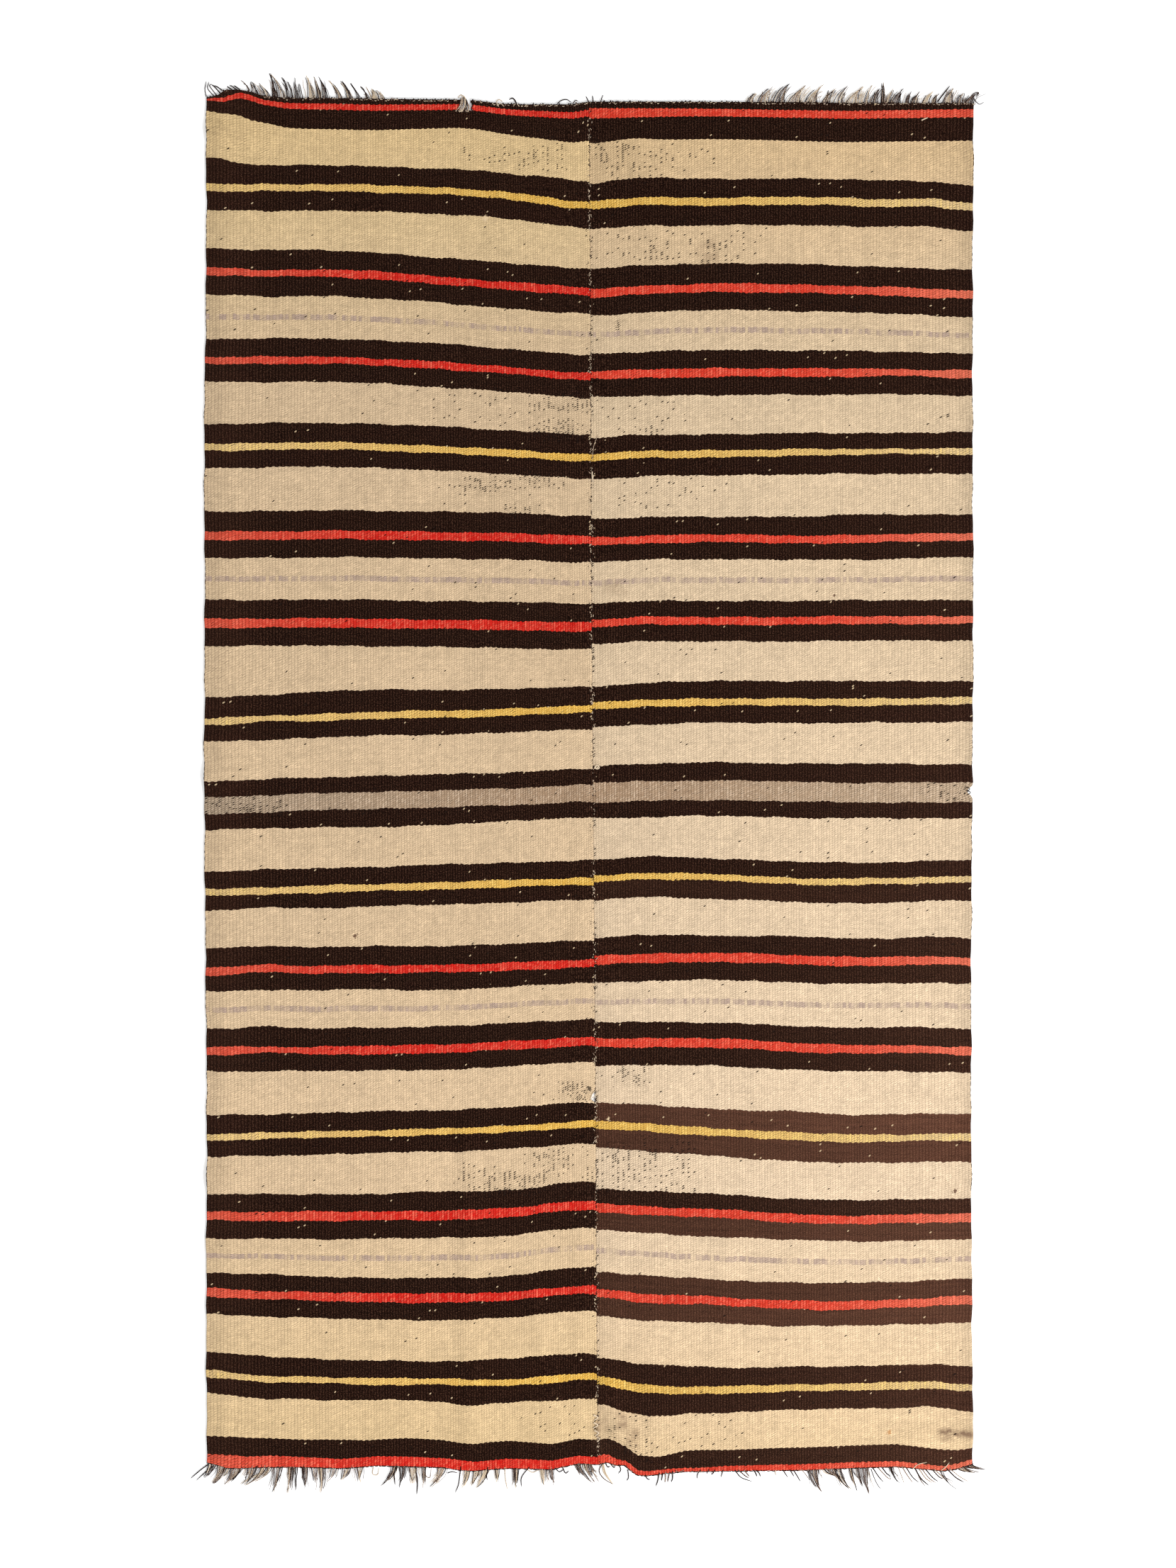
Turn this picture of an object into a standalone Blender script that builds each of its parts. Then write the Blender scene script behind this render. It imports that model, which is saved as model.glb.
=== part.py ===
# Flat-woven striped wool blanket: two loom widths sewn edge to edge, with the warp ends left as a fringe.
# It lies on the plane z = 0 with its warp along Y. The origin is under the middle of the whole blanket.

import math
import random

import bmesh
import bpy

# Driving dimensions, in millimetres. MM turns them into Blender's metres.
MM = 0.001
CLOTH_THICKNESS = 3.0
PIECE_GAP = 0.3
END_BAND = 6.0
WIDEST_COLUMN = 46.0
WIDEST_ROW = 50.0
SEAM_NOMINAL = 8.0
END_FLAT = 16.0
END_RISE = 24.0
FOLD_SECTION = (-1.0, -0.55, 0.0, 0.55, 1.0)
SEAM_SWELL = 1.4
SEAM_SWELL_MIDDLE = 20.0

# Shape of one lock of warp ends: how much of its pitch the root fills, and how it narrows and thins.
LOCK_ROOT_SHARE = 0.62
LOCK_MID_SHARE = 0.44
LOCK_TIP_WIDTH = 1.1
LOCK_MID_REACH = 0.52
LOCK_MID_LEAN = 0.34
LOCK_TIP_THICKNESS = 0.4
REACH_SPREAD = 0.22
LEAN_SPREAD = 0.22
FRINGE_SEED = 7

# The two outer selvedges and the seam at stations along the warp.
SIDES = [
    # y, left selvedge x, right selvedge x, seam x
    (1000, -546, 552, 1),
    (736, -546, 550, 3),
    (493, -549, 550, 4),
    (249, -548, 551, 5),
    (6, -549, 550, 7),
    (-237, -547, 548, 9),
    (-481, -545, 548, 11),
    (-724, -546, 549, 12),
    (-1000, -545, 551, 14),
]

# The woven ends at stations across the blanket, without the fringe.
ENDS = [
    # x, top end y, bottom end y
    (-547, 977, -970),
    (-519, 993, -973),
    (-486, 994, -977),
    (-468, 987, -975),
    (-423, 981, -975),
    (-192, 979, -976),
    (-152, 977, -980),
    (-107, 972, -980),
    (-58, 972, -980),
    (-14, 972, -971),
    (8, 976, -971),
    (36, 976, -971),
    (63, 976, -986),
    (112, 976, -984),
    (307, 975, -981),
    (376, 974, -978),
    (438, 974, -976),
    (485, 974, -980),
    (528, 974, -976),
    (550, 974, -970),
]

# Soft folds that lift the cloth off the floor, each a ridge between two points.
FOLDS = [
    # name, x0, y0, x1, y1, half width, height
    ("step beside the seam", 24, -850, 66, -985, 26, 6.0),
    ("bottom right corner", 455, -942, 550, -938, 24, 5.0),
    ("long crease", -170, -500, -168, -985, 26, 4.0),
    ("pucker at the seam", -80, -712, -40, -970, 22, 3.0),
    ("soft fold right", 195, -650, 196, -812, 30, 3.0),
    ("slant fold", -314, 818, -192, 612, 32, 3.0),
    ("top left pucker", -545, 936, -484, 926, 22, 3.5),
    ("left edge wave", -549, 10, -490, 8, 26, 3.5),
    ("right edge wave", 552, 560, 500, 556, 26, 3.0),
    ("left edge swell", -546, -560, -500, -566, 30, 3.0),
]

# Worn gaps, each a wedge cut in from the outside: its mouth, and the point that it runs to.
TEARS = [
    # panel, mouth x0, mouth y0, mouth x1, mouth y1, point x, point y
    ("panel_left", -173.5, 985, -163.0, 985, -168.5, 959),
    ("panel_left", 12.5, -442, 12.5, -453, 4.5, -448),
    ("panel_right", 556, -2, 556, -19, 543.5, -10),
]

# Stretches of fringe: how many locks, and how far they reach and lean from the first lock to the last.
FRINGE = [
    # node, x0, x1, locks, first reach, last reach, first lean, last lean
    ("fringe_top_left", -546, -528, 3, 24, 18, -3, -10),
    ("fringe_top_left", -524, -470, 6, 8, 12, -8, -9),
    ("fringe_top_left", -468, -430, 4, 19, 30, -15, -10),
    ("fringe_top_left", -430, -330, 11, 32, 26, -10, -14),
    ("fringe_top_left", -330, -284, 5, 24, 13, -14, -12),
    ("fringe_top_notch", -132, -98, 2, 7, 7, -5, -5),
    ("fringe_top_notch", -48, -18, 3, 9, 9, 5, 5),
    ("fringe_top_right", 9, 24, 2, 8, 6, 3, 3),
    ("fringe_top_right", 226, 262, 4, 12, 22, 6, 10),
    ("fringe_top_right", 262, 346, 9, 27, 22, 10, 10),
    ("fringe_top_right", 346, 430, 9, 22, 27, 10, 12),
    ("fringe_top_right", 430, 480, 5, 20, 15, 12, 12),
    ("fringe_top_right", 480, 550, 7, 19, 16, 12, 19),
    ("fringe_bottom_left", -546, -520, 3, 17, 26, -35, -24),
    ("fringe_bottom_left", -520, -480, 4, 27, 28, -22, -18),
    ("fringe_bottom_left", -480, -420, 6, 36, 38, -16, -8),
    ("fringe_bottom_left", -420, -370, 5, 35, 30, -5, 0),
    ("fringe_bottom_left", -370, -290, 8, 22, 27, 0, 2),
    ("fringe_bottom_left", -290, -190, 10, 32, 36, 2, 0),
    ("fringe_bottom_left", -190, -100, 9, 34, 26, 0, 0),
    ("fringe_bottom_left", -100, -40, 6, 28, 24, 0, 4),
    ("fringe_bottom_left", -40, 6, 4, 20, 24, 6, 4),
    ("fringe_bottom_right", 9, 40, 3, 28, 24, 6, 12),
    ("fringe_bottom_right", 42, 66, 2, 12, 10, 2, 0),
    ("fringe_bottom_right", 66, 160, 9, 15, 12, 0, 0),
    ("fringe_bottom_right", 160, 290, 12, 12, 14, 3, 6),
    ("fringe_bottom_right", 290, 410, 12, 24, 34, 8, 8),
    ("fringe_bottom_right", 410, 440, 3, 26, 20, 10, 10),
    ("fringe_bottom_right", 440, 534, 10, 22, 27, 10, 14),
    ("fringe_bottom_right", 535, 549, 2, 16, 10, 14, 24),
]

# The end bands that hold the fringe: the end they lie at, and where they start and stop.
BANDS = [
    # node, end, x0, x1
    ("fringe_top_left", "top", -547, -174),
    ("fringe_top_notch", "top", -162.5, 7.7),
    ("fringe_top_right", "top", 8.3, 550),
    ("fringe_bottom_left", "bottom", -547, 7.7),
    ("fringe_bottom_right", "bottom", 8.3, 550),
]

DARK_WOOL = ((0.028, 0.014, 0.010, 1.0), 0.93)
CREAM_WOOL = ((0.68, 0.50, 0.31, 1.0), 0.92)
WARP_ENDS = ((0.13, 0.095, 0.07, 1.0), 0.9)


def between(rows, key, column):
    """Straight-line value of a table's column at a key, which is the table's first column, either way up."""
    ordered = sorted(rows)
    if key <= ordered[0][0]:
        return ordered[0][column]
    for low, high in zip(ordered, ordered[1:]):
        if key <= high[0]:
            share = (key - low[0]) / (high[0] - low[0])
            return low[column] + share * (high[column] - low[column])
    return ordered[-1][column]


def stations(start, stop, wanted, widest):
    """Ordered stations from start to stop with the wanted ones in them and no step over the widest."""
    fixed = [start] + sorted(value for value in wanted if start + 1 < value < stop - 1) + [stop]
    placed = [start]
    for low, high in zip(fixed, fixed[1:]):
        steps = max(1, math.ceil((high - low) / widest))
        placed += [round(low + (high - low) * step / steps, 3) for step in range(1, steps + 1)]
    return placed


def spaced(values, least):
    """The values in order, leaving out any that is closer than the least step to the one before."""
    kept = []
    for value in sorted(values):
        if not kept or value - kept[-1] >= least:
            kept.append(value)
    return kept


def across(nominal, y):
    """Real x of a nominal x, which is true half way down: each panel follows its selvedge and the seam."""
    seam = between(SIDES, y, 3)
    if nominal < SEAM_NOMINAL:
        outer = between(SIDES, y, 1)
        nominal_outer = ENDS[0][0]
    else:
        outer = between(SIDES, y, 2)
        nominal_outer = ENDS[-1][0]
    share = (nominal - SEAM_NOMINAL) / (nominal_outer - SEAM_NOMINAL)
    return seam + share * (outer - seam)


def lift(x, y, nominal):
    """Height of the underside: a low swell each side of the seam, a smooth ridge at each fold, flat at the ends."""
    from_end = min(between(ENDS, nominal, 1) - END_BAND - y, y - between(ENDS, nominal, 2) - END_BAND)
    calm = min(1.0, max(0.0, (from_end - END_FLAT) / END_RISE))
    from_seam = abs(nominal - SEAM_NOMINAL) / SEAM_SWELL_MIDDLE
    height = SEAM_SWELL * max(0.0, 1 - (from_seam - 1) ** 2)
    for _, x0, y0, x1, y1, half_width, crest in FOLDS:
        length_squared = (x1 - x0) ** 2 + (y1 - y0) ** 2
        along = ((x - x0) * (x1 - x0) + (y - y0) * (y1 - y0)) / length_squared
        along = min(1.0, max(0.0, along))
        distance = math.hypot(x - x0 - along * (x1 - x0), y - y0 - along * (y1 - y0))
        if distance < half_width:
            height += crest * (1 - (distance / half_width) ** 2) ** 2
    return height * calm


def material(name, finish):
    colour, roughness = finish
    made = bpy.data.materials.new(name)
    made.use_nodes = True
    shader = made.node_tree.nodes["Principled BSDF"]
    shader.inputs["Base Color"].default_value = colour
    shader.inputs["Roughness"].default_value = roughness
    shader.inputs["Metallic"].default_value = 0.0
    return made


def object_from(name, built, collection):
    mesh = bpy.data.meshes.new(name)
    built.to_mesh(mesh)
    built.free()
    made = bpy.data.objects.new(name, mesh)
    collection.objects.link(made)
    return made


def raised(sheet):
    """Closes an open sheet into a cloth whose sides stand straight up from its underside."""
    grown = bmesh.ops.extrude_face_region(sheet, geom=sheet.faces[:])["geom"]
    top = [item for item in grown if isinstance(item, bmesh.types.BMVert)]
    bmesh.ops.translate(sheet, verts=top, vec=(0.0, 0.0, CLOTH_THICKNESS * MM))
    bmesh.ops.recalc_face_normals(sheet, faces=sheet.faces[:])


def thin_to_tips(made):
    """Gives a flat fringe its thickness upwards, full at the band and thinner at the tips of the locks."""
    made.vertex_groups.new(name="thickness")
    solid = made.modifiers.new("thickness", "SOLIDIFY")
    solid.thickness = CLOTH_THICKNESS * MM
    solid.offset = 1.0
    solid.vertex_group = "thickness"
    solid.thickness_vertex_group = LOCK_TIP_THICKNESS


def panel(name, nominal_outer, side, collection):
    """One loom width: a grid carried to the selvedge, the seam and both woven ends, then lifted at the folds."""
    inner = SEAM_NOMINAL
    low, high = min(nominal_outer, inner), max(nominal_outer, inner)
    fold_xs = []
    fold_ys = []
    for _, x0, y0, x1, y1, half_width, _ in FOLDS:
        if abs(y1 - y0) > abs(x1 - x0):
            fold_xs += [(x0 + x1) / 2 + share * half_width for share in FOLD_SECTION]
        else:
            fold_ys += [(y0 + y1) / 2 + share * half_width for share in FOLD_SECTION]
    fold_xs += [inner + side * share * SEAM_SWELL_MIDDLE for share in (0.5, 1.0, 2.0)]
    wanted = [row[0] for row in ENDS]
    wanted += [x for x in spaced(fold_xs, 8) if min(abs(x - row[0]) for row in ENDS) > 7]
    columns = stations(low, high, wanted, WIDEST_COLUMN)
    bottom, top = ENDS[5][2], ENDS[5][1]
    fold_ys = [y for y in fold_ys if bottom + END_FLAT + 10 < y < top - END_FLAT - 10]
    rows = stations(bottom, top, [bottom + END_FLAT - 1, top - END_FLAT + 1] + spaced(fold_ys, 10), WIDEST_ROW)
    shares = [(row - rows[0]) / (rows[-1] - rows[0]) for row in rows]
    grid = bmesh.new()
    across_count = len(columns) - 1
    along_count = len(shares) - 1
    bmesh.ops.create_grid(grid, x_segments=across_count, y_segments=along_count, size=0.5)
    for vertex in grid.verts:
        column = round((vertex.co.x + 0.5) * across_count)
        row = round((vertex.co.y + 0.5) * along_count)
        nominal = columns[column]
        bottom = between(ENDS, nominal, 2) + END_BAND + PIECE_GAP
        top = between(ENDS, nominal, 1) - END_BAND - PIECE_GAP
        y = bottom + shares[row] * (top - bottom)
        x = across(nominal, y)
        if nominal == inner:
            x += side * PIECE_GAP / 2
        vertex.co = (x * MM, y * MM, lift(x, y, nominal) * MM)
    raised(grid)
    return object_from(name, grid, collection)


def wedge_cutter(name, x0, y0, x1, y1, point_x, point_y, collection):
    """An upright three-sided prism that runs right through the cloth."""
    prism = bmesh.new()
    bmesh.ops.create_cone(prism, cap_ends=True, segments=3, radius1=1.0, radius2=1.0, depth=60 * MM)
    corners = [(x0, y0), (x1, y1), (point_x, point_y)]
    turned = sorted({(round(v.co.x, 4), round(v.co.y, 4)) for v in prism.verts}, key=lambda p: math.atan2(p[1], p[0]))
    area = (x1 - x0) * (point_y - y0) - (point_x - x0) * (y1 - y0)
    if area < 0:
        corners.reverse()
    for vertex in prism.verts:
        corner = turned.index((round(vertex.co.x, 4), round(vertex.co.y, 4)))
        vertex.co.x = corners[corner][0] * MM
        vertex.co.y = corners[corner][1] * MM
    cutter = object_from(name, prism, collection)
    cutter.hide_render = True
    cutter.display_type = "WIRE"
    return cutter


def locks_of(node):
    """Each lock of a node's fringe as (root start, root end, mid half width, reach, lean).

    A root that would cross a bend of the woven end starts or stops at the bend instead.
    """
    chance = random.Random(node + str(FRINGE_SEED))
    found = []
    for name, x0, x1, count, reach0, reach1, lean0, lean1 in FRINGE:
        if name != node:
            continue
        pitch = (x1 - x0) / count
        for number in range(count):
            share = (number + 0.5) / count
            reach = reach0 + share * (reach1 - reach0)
            lean = lean0 + share * (lean1 - lean0)
            reach *= 1 + chance.uniform(-REACH_SPREAD, REACH_SPREAD)
            lean += pitch * chance.uniform(-LEAN_SPREAD, LEAN_SPREAD)
            centre = x0 + (number + 0.5) * pitch
            low = round(centre - pitch * LOCK_ROOT_SHARE / 2, 3)
            high = round(centre + pitch * LOCK_ROOT_SHARE / 2, 3)
            for bend in [row[0] for row in ENDS]:
                if low < bend <= centre:
                    low = bend
                elif centre < bend < high:
                    high = bend
            found.append((low, high, pitch * LOCK_MID_SHARE / 2, reach, lean))
    return found


def fringe(node, end, start, stop, collection):
    """A narrow end band with its locks: the band is a strip of cells, and each lock grows from one cell's edge."""
    outwards = 1 if end == "top" else -1
    column = 1 if end == "top" else 2
    locks = locks_of(node)
    roots = [side for lock in locks for side in lock[:2]]
    bends = [row[0] for row in ENDS if row[0] not in roots]
    stops = stations(start, stop, roots + bends, WIDEST_COLUMN)
    cells = len(stops) - 1
    strip = bmesh.new()
    bmesh.ops.create_grid(strip, x_segments=cells, y_segments=1, size=0.5)
    weight = strip.verts.layers.deform.verify()
    edge_vertices = {}
    for vertex in strip.verts:
        index = round((vertex.co.x + 0.5) * cells)
        outer = vertex.co.y > 0
        nominal = stops[index]
        y = between(ENDS, nominal, column)
        if not outer:
            y -= outwards * END_BAND
        x = across(nominal, y)
        vertex.co = (x * MM, y * MM, 0.0)
        vertex[weight][0] = 1.0
        if outer:
            edge_vertices[index] = vertex
    for low, _, mid_half, reach, lean in locks:
        first = stops.index(low)
        pair = [edge_vertices[first], edge_vertices[first + 1]]
        root_x = (pair[0].co.x + pair[1].co.x) / 2
        root_y = (pair[0].co.y + pair[1].co.y) / 2
        rungs = [
            (LOCK_MID_LEAN * lean, LOCK_MID_REACH * reach, mid_half, 0.6),
            (lean, reach, LOCK_TIP_WIDTH / 2, 0.0),
        ]
        for shift, out, half_width, thickness in rungs:
            edge = strip.edges.get(pair)
            grown = bmesh.ops.extrude_edge_only(strip, edges=[edge])["geom"]
            fresh = [item for item in grown if isinstance(item, bmesh.types.BMVert)]
            left_first = pair[0].co.x < pair[1].co.x
            linked = [next(v for v in fresh if strip.edges.get((old, v))) for old in pair]
            for place, vertex in enumerate(linked):
                sign = -1 if (place == 0) == left_first else 1
                vertex.co.x = root_x + (shift + sign * half_width) * MM
                vertex.co.y = root_y + outwards * out * MM
                vertex[weight][0] = thickness
            pair = linked
    for face in strip.faces:
        face.normal_update()
        if face.normal.z < 0:
            face.normal_flip()
    made = object_from(node, strip, collection)
    thin_to_tips(made)
    return made


def build():
    for existing in list(bpy.data.objects):
        bpy.data.objects.remove(existing, do_unlink=True)
    blanket = bpy.data.collections.new("woven_blanket")
    cutters = bpy.data.collections.new("cutters")
    bpy.context.scene.collection.children.link(blanket)
    bpy.context.scene.collection.children.link(cutters)
    dark = material("panel_left_wool", DARK_WOOL)
    cream = material("panel_right_wool", CREAM_WOOL)
    panels = {
        "panel_left": panel("panel_left", ENDS[0][0], -1, blanket),
        "panel_right": panel("panel_right", ENDS[-1][0], 1, blanket),
    }
    panels["panel_left"].data.materials.append(dark)
    panels["panel_right"].data.materials.append(cream)
    for number, (name, *wedge) in enumerate(TEARS):
        cutter = wedge_cutter(f"tear_{number}", *wedge, cutters)
        cut = panels[name].modifiers.new(f"tear_{number}", "BOOLEAN")
        cut.operation = "DIFFERENCE"
        cut.solver = "EXACT"
        cut.object = cutter
    for node, end, start, stop in BANDS:
        made = fringe(node, end, start, stop, blanket)
        made.data.materials.append(material(node + "_warp", WARP_ENDS))


build()
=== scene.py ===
# Woven wool blanket: two striped loom widths sewn edge to edge, lying flat and seen from straight above.
# All sizes are in millimetres and mm turns them into metres. The warp runs along Y, the wefts along X.

import bpy
import numpy as np
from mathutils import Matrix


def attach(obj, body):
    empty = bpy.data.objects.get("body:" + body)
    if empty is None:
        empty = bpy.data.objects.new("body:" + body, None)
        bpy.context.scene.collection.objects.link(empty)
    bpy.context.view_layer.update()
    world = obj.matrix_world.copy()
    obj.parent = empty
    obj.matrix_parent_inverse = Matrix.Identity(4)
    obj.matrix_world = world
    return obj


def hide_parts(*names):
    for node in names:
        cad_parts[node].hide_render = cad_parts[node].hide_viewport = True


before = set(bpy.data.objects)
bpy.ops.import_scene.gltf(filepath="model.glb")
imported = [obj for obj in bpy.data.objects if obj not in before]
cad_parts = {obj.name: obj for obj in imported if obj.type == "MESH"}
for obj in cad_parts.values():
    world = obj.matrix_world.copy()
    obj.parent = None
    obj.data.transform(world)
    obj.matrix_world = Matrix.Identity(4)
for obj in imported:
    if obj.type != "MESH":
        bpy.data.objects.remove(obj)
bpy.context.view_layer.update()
mm = 0.001

# The blanket's plan: the solids' outline, with more points at the two ends

sides = [
    # y, left selvedge x, right selvedge x, seam x
    (1000, -546, 552, 1),
    (736, -546, 550, 3),
    (493, -549, 550, 4),
    (249, -548, 551, 5),
    (6, -549, 550, 7),
    (-237, -547, 548, 9),
    (-481, -545, 548, 11),
    (-724, -546, 549, 12),
    (-1000, -545, 551, 14),
]

ends = [
    # x, top end y, bottom end y
    (-547, 982, -970),
    (-531, 985, -974),
    (-519, 993, -978),
    (-499, 993, -978.5),
    (-483, 990, -977.5),
    (-467, 985, -977),
    (-430, 981, -976.5),
    (-392, 981, -977),
    (-358, 981, -978.5),
    (-305, 980, -974.5),
    (-213, 979, -977),
    (-188, 979, -981),
    (-168, 978, -982),
    (-152, 977, -980.5),
    (-120, 973, -978.5),
    (-90, 972, -979),
    (-58, 972, -980),
    (-19, 972, -971.5),
    (8, 976, -973),
    (22, 976, -970),
    (34, 976, -974),
    (48, 976, -974),
    (56, 976, -982),
    (65, 976, -988),
    (78, 976, -989),
    (112, 976, -985),
    (132, 976, -983),
    (307, 975, -981),
    (376, 974, -978),
    (438, 974, -976),
    (485, 974, -980),
    (507, 974, -982),
    (527, 974, -979),
    (550, 974, -972),
]

folds = [
    # x0, y0, x1, y1, half width, height
    (24, -850, 66, -985, 26, 6.0),  # step beside the seam
    (455, -942, 550, -938, 24, 5.0),  # bottom right corner
    (-170, -500, -168, -985, 26, 4.0),  # long crease
    (-80, -712, -40, -970, 22, 3.0),  # pucker at the seam
    (195, -650, 196, -812, 30, 3.0),  # soft fold right
    (-314, 818, -192, 612, 32, 3.0),  # slant fold
    (-545, 936, -484, 926, 22, 3.5),  # top left pucker
    (-549, 10, -490, 8, 26, 3.5),  # left edge wave
    (552, 560, 500, 556, 26, 3.0),  # right edge wave
    (-546, -560, -500, -566, 30, 3.0),  # left edge swell
]

cloth = {
    "thickness": 3.0,
    "seamX": 8,  # the seam and the outer selvedges half way down
    "outerLeft": -547,
    "outerRight": 550,
    "panelWidth": 546,  # for the worn strip beside the seam
    "endBand": 6.0,
    "endFlat": 16,
    "endRise": 24,
    "seamSwell": 1.4,
    "seamSwellMiddle": 20,
    "ribPitch": {
        # distance from the seam, then the pitch of the ribs there
        "left": [(0, 3.4), (70, 3.45), (170, 3.65), (270, 3.9), (370, 4.1), (485, 4.85), (555, 4.9)],
        "right": [(0, 3.8), (75, 3.85), (175, 4.25), (275, 3.9), (380, 3.95), (480, 4.7), (542, 4.8)],
    },
    "ribHeight": 0.6,
    "lineWander": (1.7, (230, 121, 67, 38)),  # how far, and over which lengths
    "edgeWander": (1.3, (90, 47, 173)),
    "pickPitch": 3.1,
    "rowSpacing": 13.0,
    "rowsInStripe": {0: 2, 1: 3, 2: 3, 3: 6, 33: 6, 47: 10, 63: 7},  # finer beside the worn gaps
    "ribUneven": 0.2,
    "seamGap": 0.02,
    "seamWornWidth": 5,
    "seamWorn": 0.25,
    "seamSpecks": 0.08,
    "sharpFrom": 0.9,  # radians between two faces
    "liftedFrom": 0.5,  # a higher underside has the puckers too
}

# The weave charts: 66 stripes from top to bottom, in 16 groups of dark, accent, dark and cream. Where the
# lines between stripes are counted from the top, 0 is the top end and 66 the bottom end.

leftChart = {
    "places": (-537, -334, -131, -8),
    "groups": [
        # dye, dark above, accent, dark below, y of the accent at each place; a width may change by place too
        ("yellow", 27, 10, 28, (853, 852, 843, 828)),
        ("red", 27, 11, 27, (733, 729, 714, 705)),
        ("red", 26, 10, 26, (606, 605, 593, 583)),
        ("yellow", 28, 10, 25, (482, 483, 474, 467)),
        ("red", 29, 12, 26, (355, 356, 353, 349)),
        ("red", 27, 13, 26, (230, 230, 227, 225)),
        ("yellow", 27, 10, 24, (89, 97, 102, 107)),
        ("grey", 23, 24, 23, (-31, -24, -19, -13)),
        ("yellow", 25, 10, 22, (-155, -149, -143, -139)),
        ("red", 27, 11, 23, (-268, -265, -262, -256)),
        ("red", 26, 12, 23, (-382, -381, -375, -368)),
        ("yellow", 26.5, 9, 24, (-505, -500, -494, -486)),
        ("red", 25, 13, 26, (-618, -618, -614, -605)),
        ("red", 22, 13, 25, (-727, -734, -733, -724)),
        ("yellow", 25, 9, (23, 23, 24, 27), (-843, -854, -857, -847)),
    ],
    "top": [
        # x, then how far below the end the red, the second dark and the cream start
        (-547, 2.5, 4.5, 19.5),
        (-531, 4, 9, 25),
        (-521, 10, 16, 33),
        (-512, 8, 15, 35),
        (-501, 4.5, 12.5, 36.5),
        (-484, 4.5, 12.5, 40),
        (-467, 6, 13, 39),
        (-430, 7, 15, 42.5),
        (-334, 8.5, 17, 45),
        (-131, 7, 15, 42),
        (-8, 12, 21, 56),
    ],
    "bottom": [
        # x, then how far above the end the last dark and the last red start
        (-547, 37.5, 11.5),
        (-509, 45, 18.5),
        (-490, 43, 16),
        (-451, 41, 16),
        (-412, 39, 14),
        (-358, 40.5, 13),
        (-315, 37, 13),
        (-263, 40, 13.5),
        (-213, 39, 13),
        (-188, 39, 14),
        (-169, 38.5, 12.5),
        (-120, 39, 13.5),
        (-53, 36, 12),
        (-8, 35, 10.5),
    ],
    "bends": [
        # first line and last line, x, half width, how much higher
        (4, 4, -547, 50, 10.5),
        (4, 4, -30, 40, 3.5),
        (9, 9, -455, 40, -3),
        (11, 11, -455, 40, -3.5),
        (28, 28, -350, 200, 5),
        (30, 30, -445, 30, 3),
        (35, 35, -290, 90, -4),
        (40, 42, -465, 40, 3.5),
        (39, 39, -460, 40, 3.3),
        (43, 43, -230, 60, -3),
        (44, 44, -460, 40, 3.7),
        (46, 46, -450, 40, 5),
        (47, 47, -190, 50, -2.5),
        (52, 52, -30, 50, 5.5),
        (52, 52, -200, 80, 2.5),
        (53, 55, -30, 60, 3),
        (56, 56, -30, 60, 5.5),
        (57, 57, -460, 40, -3),
        (58, 59, -40, 60, 3),
        (60, 60, -110, 140, 5.5),
        (61, 62, -210, 70, 3.3),
        (61, 62, -465, 50, -4),
        (63, 63, -468, 45, -4.8),
        (63, 63, -370, 35, -2),
        (63, 63, -265, 45, 4),
        (63, 63, -169, 20, -3),
    ],
}

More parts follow.
